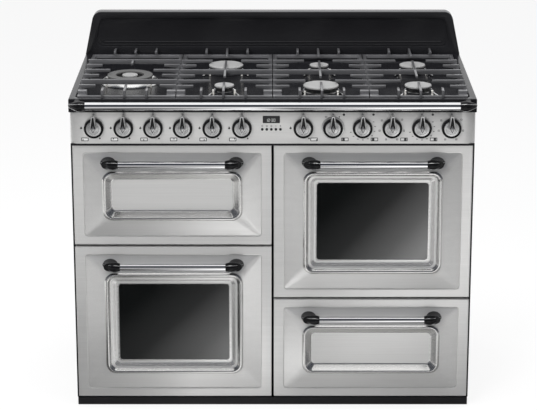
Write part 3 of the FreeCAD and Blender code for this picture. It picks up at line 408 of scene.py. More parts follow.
def joined(meshes):
    """One mesh from several."""
    work = bmesh.new()
    for mesh in meshes:
        work.from_mesh(mesh)
    return smoothed(plain_mesh(work))


def fit(name, shape, body, slot, *stands_for, finish=None):
    """Puts a mesh or finished work on its body, in the finish of its slot or in another."""
    mesh = shape if isinstance(shape, bpy.types.Mesh) else made_mesh(shape)
    mesh.materials.clear()
    mesh.materials.append(finishes[finish or slot])
    piece = linked(name, mesh)
    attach(piece, body)
    if stands_for:
        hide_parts(*stands_for)


def rounded(corners, radius, steps):
    """A polygon's corners, given anticlockwise, each rounded to a radius."""
    radius = max(radius, 0.02)
    points = []
    count = len(corners)
    for i, corner in enumerate(corners):
        here = Vector(corner)
        before = (Vector(corners[i - 1]) - here).normalized()
        after = (Vector(corners[(i + 1) % count]) - here).normalized()
        half = before.angle(after) / 2
        centre = here + (before + after).normalized() * (radius / math.sin(half))
        start = here + before * (radius / math.tan(half)) - centre
        sweep = math.pi - 2 * half
        for step in range(steps + 1):
            turn = Matrix.Rotation(sweep * step / steps, 2)
            points.append(centre + turn @ start)
    return points


def oblong(x0, x1, z0, z1):
    return [(x0, z0), (x1, z0), (x1, z1), (x0, z1)]


def around(x, z, half_width, half_height):
    """An oblong by its middle."""
    return oblong(x - half_width, x + half_width, z - half_height, z + half_height)


def stacked(work, rings, hoop=False):
    """Skins a stack of rings that have equal numbers of points, closed at its ends or into a hoop."""
    loops = [[work.verts.new(point) for point in ring] for ring in rings]
    if hoop:
        loops.append(loops[0])
    for low, high in zip(loops, loops[1:]):
        for i in range(len(low)):
            work.faces.new((low[i - 1], low[i], high[i], high[i - 1]))
    if not hoop:
        work.faces.new(list(reversed(loops[0])))
        work.faces.new(loops[-1])


def facing_front(points, y):
    return [Vector((x, y, z)) for x, z in points]


def facing_up(points, z):
    return [Vector((x, y, z)) for x, y in points]


def turned(work, profile, centre, segments, axis="Z", hoop=False):
    """A turned piece from (radius, height) points, mapped by angle and by length along the profile."""
    layer = work.loops.layers.uv.verify()
    outline = [*profile, profile[0]] if hoop else profile
    lengths = [0.0]
    for (r0, h0), (r1, h1) in zip(outline, outline[1:]):
        lengths.append(lengths[-1] + math.hypot(r1 - r0, h1 - h0) * MM)
    rows = []
    for radius, height in profile:
        row = []
        for i in range(1 if radius == 0 else segments):
            turn = 2 * math.pi * i / segments
            u, v = radius * math.cos(turn), radius * math.sin(turn)
            places = {"Z": (u, v, height), "Y": (u, -height, v), "X": (height, u, v)}
            row.append(work.verts.new(Vector(centre) + Vector(places[axis])))
        rows.append(row)
    if hoop:
        rows.append(rows[0])
    for k, (low, high) in enumerate(zip(rows, rows[1:])):
        for i in range(segments):
            corners = {}
            for row, step, length in ((low, i, k), (low, i + 1, k), (high, i + 1, k + 1), (high, i, k + 1)):
                corners.setdefault(row[step % len(row)], (step / segments, lengths[length]))
            face = work.faces.new(list(corners))
            for loop, place in zip(face.loops, corners.values()):
                loop[layer].uv = place


def bent_rod(work, path, radius, sides=12, closed=False):
    """A rod that follows a path, or a closed ring of rod."""
    points = [Vector(p) for p in path]
    count = len(points)
    rings = []
    normal = None
    for i, point in enumerate(points):
        ahead = points[(i + 1) % count] if closed or i < count - 1 else point
        behind = points[i - 1] if closed or i > 0 else point
        along = (ahead - behind).normalized()
        if normal is None:
            normal = along.orthogonal().normalized()
        normal = (normal - along * normal.dot(along)).normalized()
        other = along.cross(normal)
        ring = []
        for k in range(sides):
            turn = 2 * math.pi * k / sides
            ring.append(point + normal * (radius * math.cos(turn)) + other * (radius * math.sin(turn)))
        rings.append(ring)
    stacked(work, rings, hoop=closed)


def filleted(path, radius, steps):
    """A path with its inner corners rounded to a radius."""
    points = [Vector(p) for p in path]
    result = [points[0]]
    for before, here, after in zip(points, points[1:], points[2:]):
        back = (before - here).normalized()
        on = (after - here).normalized()
        half = back.angle(on) / 2
        if abs(half - math.pi / 2) < 0.01:
            result.append(here)
            continue
        reach = radius / math.tan(half)
        for step in range(steps + 1):
            share = step / steps
            near = here + back * (reach * (1 - share) ** 2)
            result.append(near + on * (reach * share**2))
    result.append(points[-1])
    return result


def slab(work, low, high, edge):
    """A block with its edges rounded."""
    (x0, y0, z0), (x1, y1, z1) = low, high
    front = [(edge, y0), (edge * 0.3, y0 + edge * 0.3), (0, y0 + edge)]
    back = [(0, y1 - edge), (edge * 0.3, y1 - edge * 0.3), (edge, y1)]
    rings = []
    for inset, y in front + back:
        outline = oblong(x0 + inset, x1 - inset, z0 + inset, z1 - inset)
        rings.append(facing_front(rounded(outline, edge, 2), y))
    stacked(work, rings)


def softened(node, width, segments=2):
    """A copy of a solid's mesh, with its triangles merged and its edges rounded."""
    work = bmesh.new()
    work.from_mesh(nodes[node].data)
    bmesh.ops.remove_doubles(work, verts=work.verts, dist=1e-6)
    bmesh.ops.dissolve_limit(work, angle_limit=math.radians(0.5), verts=work.verts, edges=work.edges)
    settings = {"limit_method": "ANGLE", "angle_limit": math.radians(30.0), "use_clamp_overlap": True}
    return worked(plain_mesh(work), "BEVEL", width=width * MM, segments=segments, **settings)


def cut_from(mesh, cutter):
    """Cuts one closed mesh out of another."""
    tool = linked("cutter", cutter)
    result = worked(mesh, "BOOLEAN", operation="DIFFERENCE", object=tool, solver="EXACT")
    bpy.data.objects.remove(tool)
    return result


# Repeated shapes, by Geometry Nodes


class Pattern:
    """A Geometry Nodes tree under construction, with named inputs for its sizes."""

    def __init__(self, name, inputs):
        self.group = bpy.data.node_groups.new(name, "GeometryNodeTree")
        self.group.interface.new_socket("Geometry", in_out="OUTPUT", socket_type="NodeSocketGeometry")
        self.names = {}
        for label, kind in {**inputs, "Finish": "Material"}.items():
            socket = self.group.interface.new_socket(label, in_out="INPUT", socket_type="NodeSocket" + kind)
            self.names[label] = socket.identifier
        self.source = self.group.nodes.new("NodeGroupInput")

    def add(self, kind, inputs, **settings):
        """Adds one node, and returns its first output. Text as a value names one of the tree's inputs."""
        made = self.group.nodes.new(kind)
        for key, value in settings.items():
            setattr(made, key, value)
        for key, value in inputs.items():
            if isinstance(value, str):
                value = self.source.outputs[value]
            if isinstance(value, bpy.types.NodeSocket):
                self.group.links.new(value, made.inputs[key])
            else:
                made.inputs[key].default_value = value
        return made.outputs[0]

    def end(self, instances):
        solid = self.add("GeometryNodeRealizeInstances", {"Geometry": instances})
        dressed = self.add("GeometryNodeSetMaterial", {"Geometry": solid, "Material": "Finish"})
        result = self.group.nodes.new("NodeGroupOutput")
        self.group.links.new(dressed, result.inputs[0])
        return self

    def make(self, **values):
        """Runs the tree with its sizes and returns a plain mesh."""
        bench = linked("bench", bpy.data.meshes.new("bench"))
        step = bench.modifiers.new("pattern", "NODES")
        step.node_group = self.group
        for label, value in values.items():
            step[self.names[label]] = value
        return evaluated(bench)


def ring_pattern():
    """Blocks set round a circle: the teeth between the flame ports of a crown."""
    sizes = {"Count": "Int", "Radius": "Float", "Block": "Vector", "Centre": "Vector"}
    tree = Pattern("ring_of_teeth", sizes)
    circle = tree.add("GeometryNodeMeshCircle", {"Vertices": "Count", "Radius": "Radius"})
    block = tree.add("GeometryNodeMeshCube", {"Size": "Block"})
    where = tree.add("GeometryNodeInputPosition", {})
    facing = tree.add("FunctionNodeAlignRotationToVector", {"Vector": where}, axis="X")
    instances = {"Points": circle, "Instance": block, "Rotation": facing}
    placed = tree.add("GeometryNodeInstanceOnPoints", instances)
    moved = tree.add("GeometryNodeTransform", {"Geometry": placed, "Translation": "Centre"})
    return tree.end(moved)


def row_pattern(name, sizes, piece):
    """Pieces set side by side along a line; a function adds the nodes of one piece."""
    line_sizes = {"Count": "Int", "Start": "Vector", "Step": "Vector", "Turn": "Rotation"}
    tree = Pattern(name, {**line_sizes, **sizes})
    line = tree.add("GeometryNodeMeshLine", {"Count": "Count", "Start Location": "Start", "Offset": "Step"})
    instances = {"Points": line, "Instance": piece(tree), "Rotation": "Turn"}
    return tree.end(tree.add("GeometryNodeInstanceOnPoints", instances))


def rod(tree):
    """A shelf's wire."""
    return tree.add("GeometryNodeMeshCylinder", {"Vertices": "Sides", "Radius": "Radius", "Depth": "Length"})


def screw_head(tree):
    """A screw's low head, narrower at its top."""
    narrow = tree.add("ShaderNodeMath", {0: "Radius", 1: 0.62}, operation="MULTIPLY")
    sizes = {"Vertices": 14, "Radius Top": narrow, "Radius Bottom": "Radius", "Depth": "Height"}
    return tree.add("GeometryNodeMeshCone", sizes)


ring_of_teeth = ring_pattern()
row_of_rods = row_pattern("row_of_rods", {"Radius": "Float", "Length": "Float", "Sides": "Int"}, rod)
row_of_screws = row_pattern("row_of_screws", {"Radius": "Float", "Height": "Float"}, screw_head)


# Pressed door and drawer fronts

# A front's section, from its edge inwards. Each step has how far it lies in from the sides, how far from top
# and bottom, how far behind the border, and the radius of its corners.
sheet_edge = [
    (0, 0, 18, 2), (0, 0, 1.6, 2), (0.45, 0.45, 0.5, 2), (1.6, 1.6, 0, 2.5),
    (3, 3, 0, 3), (25.4, 21.4, 0, 9.3), (26.6, 22.6, 0, 9), (27.6, 23.6, 0.5, 8.4),
    (28.2, 24.2, 2, 8), (28.8, 24.8, 2.9, 8), (29.8, 25.8, 2.6, 8),
]
facets = [(31.4, 27.3, 2.1, 8.6), (76.8, 70, -11.2, 26.3), (78.6, 71.7, -11.7, 27), (79.7, 72.7, -12.3, 28)]
bead = [
    (80.6, 73.6, -13.6, 28), (82.4, 75.4, -15.8, 27), (83.8, 76.8, -16.8, 26), (85.4, 78.4, -17, 25),
    (87.2, 80.2, -16.8, 23), (88.8, 81.8, -15.9, 21.5), (90, 83, -14.6, 20),
]
field_wall = [
    (91, 84, -13.4, 19.2), (100.8, 93.8, -3.2, 13.4), (102.6, 95.6, -1.2, 12.2),
    (104.6, 97.6, 0.4, 11), (107, 100, 1, 9.8), (109, 102, 1, 8.8),
]
window_flange = [
    (93.4, 86, -10.2, 18), (94.6, 87, -8.9, 17.2), (96.2, 88.4, -8, 16.4), (99.6, 91.6, -7.7, 15),
    (101.4, 93.2, -7, 14.2), (108.6, 99.9, 0, 11.4), (110.2, 101.4, 0.9, 10.8), (112, 103.2, 1.1, 10.2),
    (117.2, 108.2, 1.1, 8.6), (118, 109, 2.3, 8),
]
sheet_thickness = 1.3
# How much the bead and the field's steep walls are polished: smoother steel, whose lighter colour is a
# painted highlight
bead_polish_and_highlight = 0.9
wall_polish_and_highlight = 0.45
hinge_inset = 60
hinge_slot_half = 4


def backed(profile, thickness):
    """The inner side of a pressed sheet, a thickness behind its outer side."""
    result = []
    last = len(profile) - 1
    for i, (dx, dz, y, radius) in enumerate(profile):
        normals = []
        for a, b in ((max(i - 1, 0), max(i, 1)), (min(i, last - 1), min(i + 1, last))):
            run = Vector((profile[b][0] - profile[a][0], profile[b][2] - profile[a][2])).normalized()
            normals.append(Vector((-run.y, run.x)))
        miter = (normals[0] + normals[1]) / (1 + normals[0].dot(normals[1]))
        inwards, back = miter.x * thickness, miter.y * thickness
        result.append((dx + inwards, dz + inwards, y + back, radius))
    return result


def pressed_front(name):
    """A door or drawer front pressed from one sheet, with a raised bead round its field."""
    x0, x1, z0, z1 = doors[name]
    window = name in windowed
    outer = sheet_edge + facets + bead + (window_flange if window else field_wall)
    rings = []
    for dx, dz, y, radius in [*reversed(outer), *backed(outer, sheet_thickness)]:
        outline = oblong(x0 + dx, x1 - dx, z0 + dz, z1 - dz)
        rings.append(facing_front(rounded(outline, radius, 8), y_door + y))
    work = bmesh.new()
    layer = work.verts.layers.float.new("polish")
    stacked(work, rings, hoop=window)
    first = len(sheet_edge + facets)
    last = first + len(bead)
    # The bead and the steep walls inside it get polish: smoother steel, whose lighter colour is a painted
    # highlight
    for i, vertex in enumerate(work.verts):
        row = len(outer) - 1 - i // len(rings[0])
        if first <= row < last:
            vertex[layer] = bead_polish_and_highlight
        elif last <= row < len(outer) - 1:
            before, here, after = outer[row - 1 : row + 2]
            steep = [b[2] - a[2] > 0.7 * (b[0] - a[0]) for a, b in ((before, here), (here, after))]
            vertex[layer] = wall_polish_and_highlight * sum(steep)
    return made_mesh(work)


def hinge_slots(name):
    """The two slots in a door's lower edge, where the hinge lugs pass."""
    x0, x1, z0, z1 = doors[name]
    work = bmesh.new()
    for x in (x0 + hinge_inset, x1 - hinge_inset):
        low = (x - hinge_slot_half, y_door + 3.4, z0 - 5)
        slab(work, low, (x + hinge_slot_half, y_door + 30, z0 + 12.3), 0.4)
    return made_mesh(work)


for name in doors:
    skin = pressed_front(name)
    if name != "drawer":
        skin = cut_from(skin, hinge_slots(name))
    fit(name + "_front", skin, name, "brushed_steel", name + "_skin")


# Bar handles and the rail along the worktop

# A bar's radius, and the length, swell and backward sweep of the leaf-shaped caps at its ends
handle_leaf = (10, 50, 4, 24)
rail_leaf = (11, 46, 4, 12)
# Where a cap's foot is seated, its rise on the way there, its half width, half height and flare
handle_foot = (y_door + 5, -5, 16, 12, 1.45)
rail_foot = (y_edge + 0.5, 0, 10, 10, 1.35)
handle_inset, handle_drop, handle_reach = 126, 47, 40
rail_half, rail_y, rail_z = 503, -306, 881.25


def leaf_profile(radius, length, swell):
    """Half the outline of a leaf-shaped end, from the bar outwards, as (along, radius)."""
    collar = 1
    return [
        (-0.4, radius * 0.55), (-0.4, radius + collar * 0.5), (0.4, radius + collar),
        (6, radius + collar + (swell - collar) * 0.6), (12, radius + swell * 0.97), (16, radius + swell),
        (length * 0.42, radius + swell * 0.85), (length * 0.56, radius + swell * 0.4),
        (length * 0.7, radius * 0.9), (length * 0.84, radius * 0.7),
        (length - 2, 4.8), (length - 0.5, 2.8), (length, 0),
    ]


def swept(along, length, sweep):
    """How far back the leaf curves, so far along it."""
    return sweep * max(0, (along - 12) / (length - 12)) ** 2


def leaf_cap(work, x, way, y, z, radius, length, swell, sweep):
    """A leaf-shaped end cap whose tip curves back."""
    profile = [(reach, way * along) for along, reach in leaf_profile(radius, length, swell)]
    leaf = bmesh.new()
    turned(leaf, [(0, profile[0][1]), *profile], (x, y, z), 24, "X")
    for vertex in leaf.verts:
        vertex.co.y += swept(way * (vertex.co.x - x), length, sweep)
    work.from_mesh(plain_mesh(leaf))


def leaf_highlight_lines(work, x, way, y, z, radius, length, swell, sweep):
    """Painted highlights: thin bright lines along the upper and lower edges of an end cap's front."""
    for turn in (math.radians(36), math.radians(-48)):
        path = []
        for along, reach in leaf_profile(radius, length, swell)[2:-2]:
            far = reach + 0.15
            back = swept(along, length, sweep)
            path.append((x + way * along, y + back - far * math.cos(turn), z + far * math.sin(turn)))
        bent_rod(work, path, 0.6, 6)


def leaf_foot(work, x, way, y, z, y_seat, lift, half, tall, flare):
    """The foot of an end cap: an oval that flares on its way back to its seat."""
    centre = x + way * (half + 13)
    rings = []
    for share in (0, 0.25, 0.5, 0.75, 0.92, 1):
        grow = 1 + (flare - 1) * share**1.6
        height = z + lift * share
        oval = []
        for k in range(32):
            turn = 2 * math.pi * k / 32
            oval.append((centre + half * grow * math.cos(turn), height + tall * grow * math.sin(turn)))
        rings.append(facing_front(oval, y + (y_seat - y) * share))
    stacked(work, rings)


def bar_handle(name, body, low, high, y, z, leaf, foot):
    """A chrome bar with a black cap at each end, and thin bright lines on the caps that are painted
    highlights.
    """
    caps, highlight_lines, bar = bmesh.new(), bmesh.new(), bmesh.new()
    for x, way in ((low, -1), (high, 1)):
        leaf_cap(caps, x, way, y, z, *leaf)
        leaf_foot(caps, x, way, y, z, *foot)
        leaf_highlight_lines(highlight_lines, x, way, y, z, *leaf)
    radius, span = leaf[0], high - low
    profile = [(0, 0), (radius, 0), (radius, span * 0.5), (radius, span), (0, span)]
    turned(bar, profile, (low, y, z), 40, "X")
    fit(name + "_bar", bar, body, "chrome", name)
    fit(name + "_ends", made_mesh(caps, 40), body, "black_plastic")
    # The caps' bright lines are painted highlights
    fit(name + "_trims", highlight_lines, body, "chrome", finish="highlight_metal")


for name, (x0, x1, z0, z1) in doors.items():
    place = (x0 + handle_inset, x1 - handle_inset, y_door - handle_reach, z1 - handle_drop)
    bar_handle(name + "_handle", name, *place, handle_leaf, handle_foot)
bar_handle("front_rail", "cooker", -rail_half, rail_half, rail_y, rail_z, rail_leaf, rail_foot)


# Hob tray and backguard

# The tray's section, from its skirt inwards: steps in from the sides, the front and the rear, then the
# height, and the radius of the corners
tray_skin = [
    (1.2, 1.2, 1.2, 858, 2), (0, 0, 0.2, 858.6, 3), (0, 0, 0.2, 892, 3),
    (0.5, 0.5, 0.2, 893.8, 3.5), (1.7, 1.7, 0.2, 894.8, 4), (3.5, 3.5, 0.3, 895, 5),
    (15.5, 13.5, 2.4, 895, 20), (17.2, 15.2, 3, 894.5, 19.5), (18.4, 16.4, 3.4, 893, 19),
    (20.6, 18.6, 4.4, 883.2, 18), (21.8, 19.8, 5.4, 881, 17), (24, 22, 7, well_floor, 16),
]
tray_underside = [
    (22.8, 20.8, 8.2, 878.6, 16), (19.4, 17.4, 3.2, 882, 18), (17, 15, 2.2, 893.4, 19),
    (3.6, 3.6, 1.4, 893.5, 4), (1.5, 1.5, 1.4, 891.5, 2.5), (1.5, 1.5, 1.4, 858.2, 2.5),
]


def hob_tray():
    """The pressed enamel tray: a folded skirt, a soft rim and a well."""
    work = bmesh.new()
    rings = []
    for side, front, rear, z, radius in reversed(tray_underside + tray_skin):
        corners = oblong(-worktop_half + side, worktop_half - side, y_edge + front, y_guard - rear)
        rings.append(facing_up(rounded(corners, radius, 8), z))
    stacked(work, rings)
    return work


fit("hob_tray", hob_tray(), "cooker", "black_enamel", "hob_top", finish="hob_enamel")
fit("backguard_upstand", softened("backguard", 1, 3), "cooker", "black_enamel", "backguard")

# Two raised lines across the backguard, by their height, half their length and the rise of their ends
ridges = bmesh.new()
ridge_y = y_guard + 1.9
for z, half, rise in ((922.6, 505, 15), (930.6, 498, 9)):
    corners = [(-half - 3, z + rise), (-half, z), (half, z), (half + 3, z + rise)]
    bent_rod(ridges, filleted(facing_front(corners, ridge_y), 9, 6), 1.3, 10)
fit("backguard_ridges", ridges, "cooker", "black_enamel")


# Control panel

# The fascia's outline, from its back forwards: in from top and bottom, in from the ends, behind its face
fascia = [
    (0, 0, 34), (0, 0, 11), (0, 0.6, 8.6), (0, 2.2, 6.8), (0, 6, 5.15),
    (0.1, 12, 3.26), (0.25, 18, 1.8), (0.45, 24, 0.8), (0.9, 30, 0.2), (1.8, 36, 0),
]
rings = []
for inset, end, back in fascia:
    ring = oblong(-panel_half + end, panel_half - end, panel_bottom + 1.6 + inset, panel_top - inset)
    rings.append(facing_front(rounded(ring, 1, 3), y_panel + back))
work = bmesh.new()
stacked(work, rings)
fit("control_panel_face", work, "cooker", "brushed_steel", "control_panel")

# Dark strips put in the gap under the panel and beside the doors, as painted shade in those gaps
strip_half, strip_bottom, strip_top = 546, 762.8, 768.8
strips = bmesh.new()
slab(strips, (-strip_half, y_panel + 1.5, strip_bottom), (strip_half, y_panel + 24.5, strip_top), 0.4)
for inner, outer in ((-549.4, -545.6), (545.6, 549.4)):
    slab(strips, (inner, y_door + 4, 25.5), (outer, y_door + 36.5, 763), 0.4)
fit("front_shadow_strips", strips, "cooker", "black_paint")


# Marks printed on the panel, and the clock

# How far a mark's ink starts behind the panel's face, and how far it lies before it
ink_root, ink_lift = 0.3, 0.15
off_mark_rise, place_drop = 38, 32
dark_marks = bmesh.new()
pale_marks = bmesh.new()


def printed(points, work=dark_marks, y=y_panel, lift=ink_lift):
    """A flat mark with an outline of (across, up) points."""
    stacked(work, [facing_front(points, y + ink_root), facing_front(points, y - lift)])


def printed_frame(x, z, width, height, line, radius):
    """A dark mark in the shape of a rounded frame."""
    outer = rounded(around(x, z, width / 2, height / 2), radius, 4)
    inner = rounded(around(x, z, width / 2 - line, height / 2 - line), radius - line * 0.7, 4)
    front, back = y_panel - ink_lift, y_panel + ink_root
    outlines = ((outer, back), (outer, front), (inner, front), (inner, back))
    stacked(dark_marks, [facing_front(points, y) for points, y in outlines], hoop=True)


def printed_flame(x, z, tall):
    shape = [(0, -0.5), (0.34, -0.3), (0.4, 0), (0.14, 0.32)]
    shape += [(0, 0.6), (-0.2, 0.2), (-0.4, -0.05), (-0.34, -0.32)]
    printed([(x + px * tall, z + pz * tall) for px, pz in shape])


def printed_place(x, z, filled):
    """A small plan of the hob or the ovens, with the place that a knob serves."""
    printed_frame(x, z, 20, 10, 1.9, 1.6)
    printed(rounded(around(x, z, 8.4, 3.4), 1, 3), pale_marks, lift=0.08)
    px, pz, half = filled
    printed(around(x + px, z + pz, half, half), lift=0.2)


def off_mark(x):
    """The small ring above a knob, where its pointer stands when it is off."""
    printed_frame(x, knob_height + off_mark_rise, 4.4, 4.4, 0.9, 2.1)


z = knob_height
for i, x in enumerate(gas_knob_xs):
    printed_flame(x - 34.5, z, 7.6)
    printed_flame(x + 15.5, z - 29, 5.6)
    off_mark(x)
    place = (-5 + 2 * i, 1.4 if i % 2 else -1.2, 1.5)
    printed_place(x + (29 if x > 0 else -25), z - place_drop, place)

# What the oven knobs set, from left to right
grill, left_heat, left_choice, right_heat, right_choice = range(5)
oven_places = [(-3.6, 0, 3.4), (-3.6, -0.1, 3.3), (3.6, 0, 3.3), (3.6, -0.1, 3.4)]
choice_marks = [(-28, 21), (26.5, 23), (-34, -7.6), (31.5, -7.6), (-16, -32), (14, -32)]
for i, x in enumerate(oven_knob_xs):
    off_mark(x)
    if i != right_choice:
        printed_place(x + 32.5, z - place_drop, oven_places[i])
    if i in (grill, left_heat, right_heat):
        printed(rounded(around(x + 29, z + 37, 3.2, 3.2), 3.2 * 0.98, 5))
    if i in (left_heat, right_heat):
        for step in range(9):
            turn = math.radians(30 - 23.6 * step)
            px, pz = x + 34 * math.cos(turn), z + 33.5 * math.sin(turn)
            printed(around(px - 1.2, pz, 0.8, 1.2))
            printed(around(px + 1.1, pz, 0.8, 1.2))
    if i in (left_choice, right_choice):
        for px, pz in choice_marks:
            printed_frame(x + px, z + pz, 5.2, 5.2, 0.8, 0.9)
            printed(around(x + px, z + pz - 0.1, 1.2, 0.5))
    if i == grill:
        printed_flame(x + 17, z + 31, 4.6)
        printed_frame(x - 19, z + 31, 6, 3.6, 0.8, 1.5)

# Above the buttons: three signs, then a minus and a plus
z = button_height + 9.3
for x, radius in zip(button_xs, (2, 0.9, 1.4)):
    printed_frame(x, z, 4.4, 4.4, 0.8, radius)
for x in button_xs[3:]:
    printed(around(x, z, 2, 0.5))
printed(around(button_xs[4], z, 0.5, 2), lift=0.2)
fit("panel_marks", dark_marks, "cooker", "black_plastic", finish="panel_print")
fit("panel_mark_fields", pale_marks, "cooker", "brushed_steel", finish="pale_print")

clock_x, clock_z = -3.5, 836.6
pane = bmesh.new()
rings = []
for inset, back in ((0, 1.2), (0, -0.3), (0.3, -0.6)):
    corners = around(clock_x, clock_z, 23.2 - inset, 10.2 - inset)
    rings.append(facing_front(rounded(corners, 2.2, 5), y_panel + back))
stacked(pane, rings)
fit("clock_pane", pane, "cooker", "black_plastic", finish="display_glass")

# The strokes of a digit, by the ends of each on a grid of two by three points
strokes = {
    "a": (0, 2, 1, 2), "b": (1, 1, 1, 2), "c": (1, 0, 1, 1), "d": (0, 0, 1, 0),
    "e": (0, 0, 0, 1), "f": (0, 1, 0, 2), "g": (0, 1, 1, 1),
}
lit_strokes = {"0": "abcdef", "1": "bc", "2": "abged", "3": "abgcd"}
stroke_length = 3.6
digits = bmesh.new()
for number, left in (("1", -14.4), ("2", -8.4), ("3", 0.6), ("0", 6.6)):
    x, z = clock_x + left, clock_z - 5.6
    for stroke in lit_strokes[number]:
        u0, v0, u1, v1 = [end * stroke_length for end in strokes[stroke]]
        printed(oblong(x + u0 - 0.5, x + u1 + 0.5, z + v0 - 0.5, z + v1 + 0.5), digits, y_panel - 0.5, 0.22)
for up in (-2.9, 0.7):
    printed(around(clock_x - 1.9, clock_z + up, 0.5, 0.5), digits, y_panel - 0.5, 0.22)
fit("clock_digits", digits, "cooker", "black_plastic", finish="display_digits")


# Knobs

knob_radius = 26.7
grip_length = 39
grip = [(0, -15), (9, 4), (4.9, 37), (4, 39), (-4, 39), (-4.9, 37), (-9, 4)]
inlay = [(0, -7.5), (6.6, 5.5), (2.2, 35.6), (-2.2, 35.6), (-6.6, 5.5)]
narrow_inlay = [(px * 0.94, pz) for px, pz in inlay]
diamond = [(0, -4.6), (4.6, 4.4), (0, 13.5), (-4.6, 4.4)]
diamond_tip = [(px * 0.15, 4.4 + (pz - 4.4) * 0.15) for px, pz in diamond]
# Outlines about the knob's axis, each with the radius of its corners and its height from the panel
inlay_levels = [(inlay, 0.5, 31.2), (inlay, 0.5, 32.15), (narrow_inlay, 0.5, 32.3)]
diamond_levels = [(diamond, 0.2, 31.6), (diamond, 0.2, 32.4), (diamond_tip, 0.03, 34.2)]
grip_levels = []
grip_shares = [(1, 35, 12.5), (0.98, 36.5, 21), (0.95, 38.4, 28.5), (0.91, 39, 31.2), (0.84, 38.4, 32)]
for share, top, height in grip_shares:
    outline = [(px * share, pz * top / grip_length if pz > 0 else pz * share) for px, pz in grip]
    grip_levels.append((outline, 0.8, height))


def raised(work, x, levels, steps):
    """A part that stands out from a knob."""
    rings = []
    for outline, radius, height in levels:
        corners = [(x + px, knob_height + pz) for px, pz in outline]
        rings.append(facing_front(rounded(corners, radius, steps), y_panel - height))
    stacked(work, rings)


def knob(x, body, bezel=False):
    """A knob: a dark ring, a spun silver face and a pointed grip with a dark inlay."""
    dark = bmesh.new()
    bright = bmesh.new()
    centre = (x, y_panel, knob_height)
    ring = knob_radius
    profile = [
        (0, 0.8), (ring - 0.5, 0.8), (ring, 1.4), (ring - 0.1, 11.4), (ring - 0.6, 12.9),
        (ring - 1.8, 13.9), (ring - 4, 14), (ring - 5.6, 13.5), (ring - 6.2, 12.4), (0, 12.2),
    ]
    turned(dark, profile, centre, 56, "Y")
    face = ring - 6
    profile = [
        (0, 12), (face, 12), (face, 12.9), (face - 0.8, 13.8), (15.2, 14.2),
        (14.4, 13.4), (13.4, 13.4), (12.6, 14.4), (8, 15.2), (0, 15.6),
    ]
    turned(bright, profile, centre, 56, "Y")
    if bezel:
        edge = [(ring + 0.4, 0.8), (31, 0.8), (31, 3.2), (30.2, 4.2), (28, 4.6), (ring + 0.4, 4.4)]
        turned(bright, edge, centre, 56, "Y", hoop=True)
    raised(bright, x, grip_levels, 3)
    raised(dark, x, inlay_levels, 2)
    raised(bright, x, diamond_levels, 2)
    fit(body + "_face", bright, body, "knob_silver", body)
    fit(body + "_ring", dark, body, "black_plastic")


for i, x in enumerate(gas_knob_xs):
    knob(x, f"gas_knob_{i + 1}")
for i, x in enumerate(oven_knob_xs):
    knob(x, f"oven_knob_{i + 1}", bezel=(i == grill))


# Burners

crown_bottom, crown_top = 884, 897
cap_bottom, cap_top = 897.2, 903
tooth = (2.6 * MM, 2.2 * MM, 8.4 * MM)
tooth_middle = 892.2
tooth_spacing = 4.6


def burner_base(work, x, y, radius):
    steps = [(radius, 0.3), (radius, 1.4), (radius - 1.2, 3), (radius - 5, 4), (radius - 9, 4.2)]
    profile = [(reach, well_floor + up) for reach, up in [(0, 0.3), *steps, (0, 4.2)]]
    turned(work, profile, (x, y, 0), 64)


def burner_cap(work, x, y, radius):
    profile = [
        (0, cap_bottom), (radius - 1, cap_bottom), (radius, 898.2), (radius, 900.8),
        (radius - 0.8, 902.2), (radius - 2.6, 902.9), (radius - 8, cap_top), (0, cap_top),
    ]
    turned(work, profile, (x, y, 0), 64)


def burner_crown(work, x, y, radius):
    profile = [
        (0, crown_bottom), (radius + 1, crown_bottom), (radius + 1.5, 885), (radius + 0.5, 886.5),
        (radius - 2.5, 888), (radius - 2.5, 896), (radius + 0.2, 896.4), (radius + 0.2, crown_top),
        (0, crown_top),
    ]
    turned(work, profile, (x, y, 0), 64)


def burner_highlight_rods(work, x, y, radius):
    """Two bright metal rods that run forwards and outwards from the crown, with a stud on each: painted
    highlights for the glints in front of each burner.
    """
    for way in (-1, 1):
        start = x + way * radius * 0.93
        path = [(start, y - 8, 886.5), (start + way * 5, y - 24, 886), (start + way * 20, y - 66, 883.4)]
        bent_rod(work, path, 2.6, 8)
        profile = [(0, 884), (4.6, 884), (4.6, 889), (3.6, 892), (1.8, 893.6), (0, 894)]
        turned(work, profile, (start, y - 10, 0), 16)


def flame_ports(x, y, radius, count):
    """The ring of teeth between a crown's flame ports."""
    centre = (x * MM, y * MM, tooth_middle * MM)
    finish = finishes["burner_alloy"]
    return ring_of_teeth.make(Count=count, Radius=radius * MM, Block=tooth, Centre=centre, Finish=finish)


bases, dish, highlight_rods, crowns, caps, wide_cap = [bmesh.new() for k in range(6)]
teeth = []
for x, depth, radius in burners:
    y = y_edge + depth
    burner_base(bases, x, y, radius + 10)
    burner_highlight_rods(highlight_rods, x, y, radius)
    burner_crown(crowns, x, y, radius - 3)
    burner_cap(caps, x, y, radius)
    teeth.append(flame_ports(x, y, radius - 4, round(2 * math.pi * radius / tooth_spacing)))

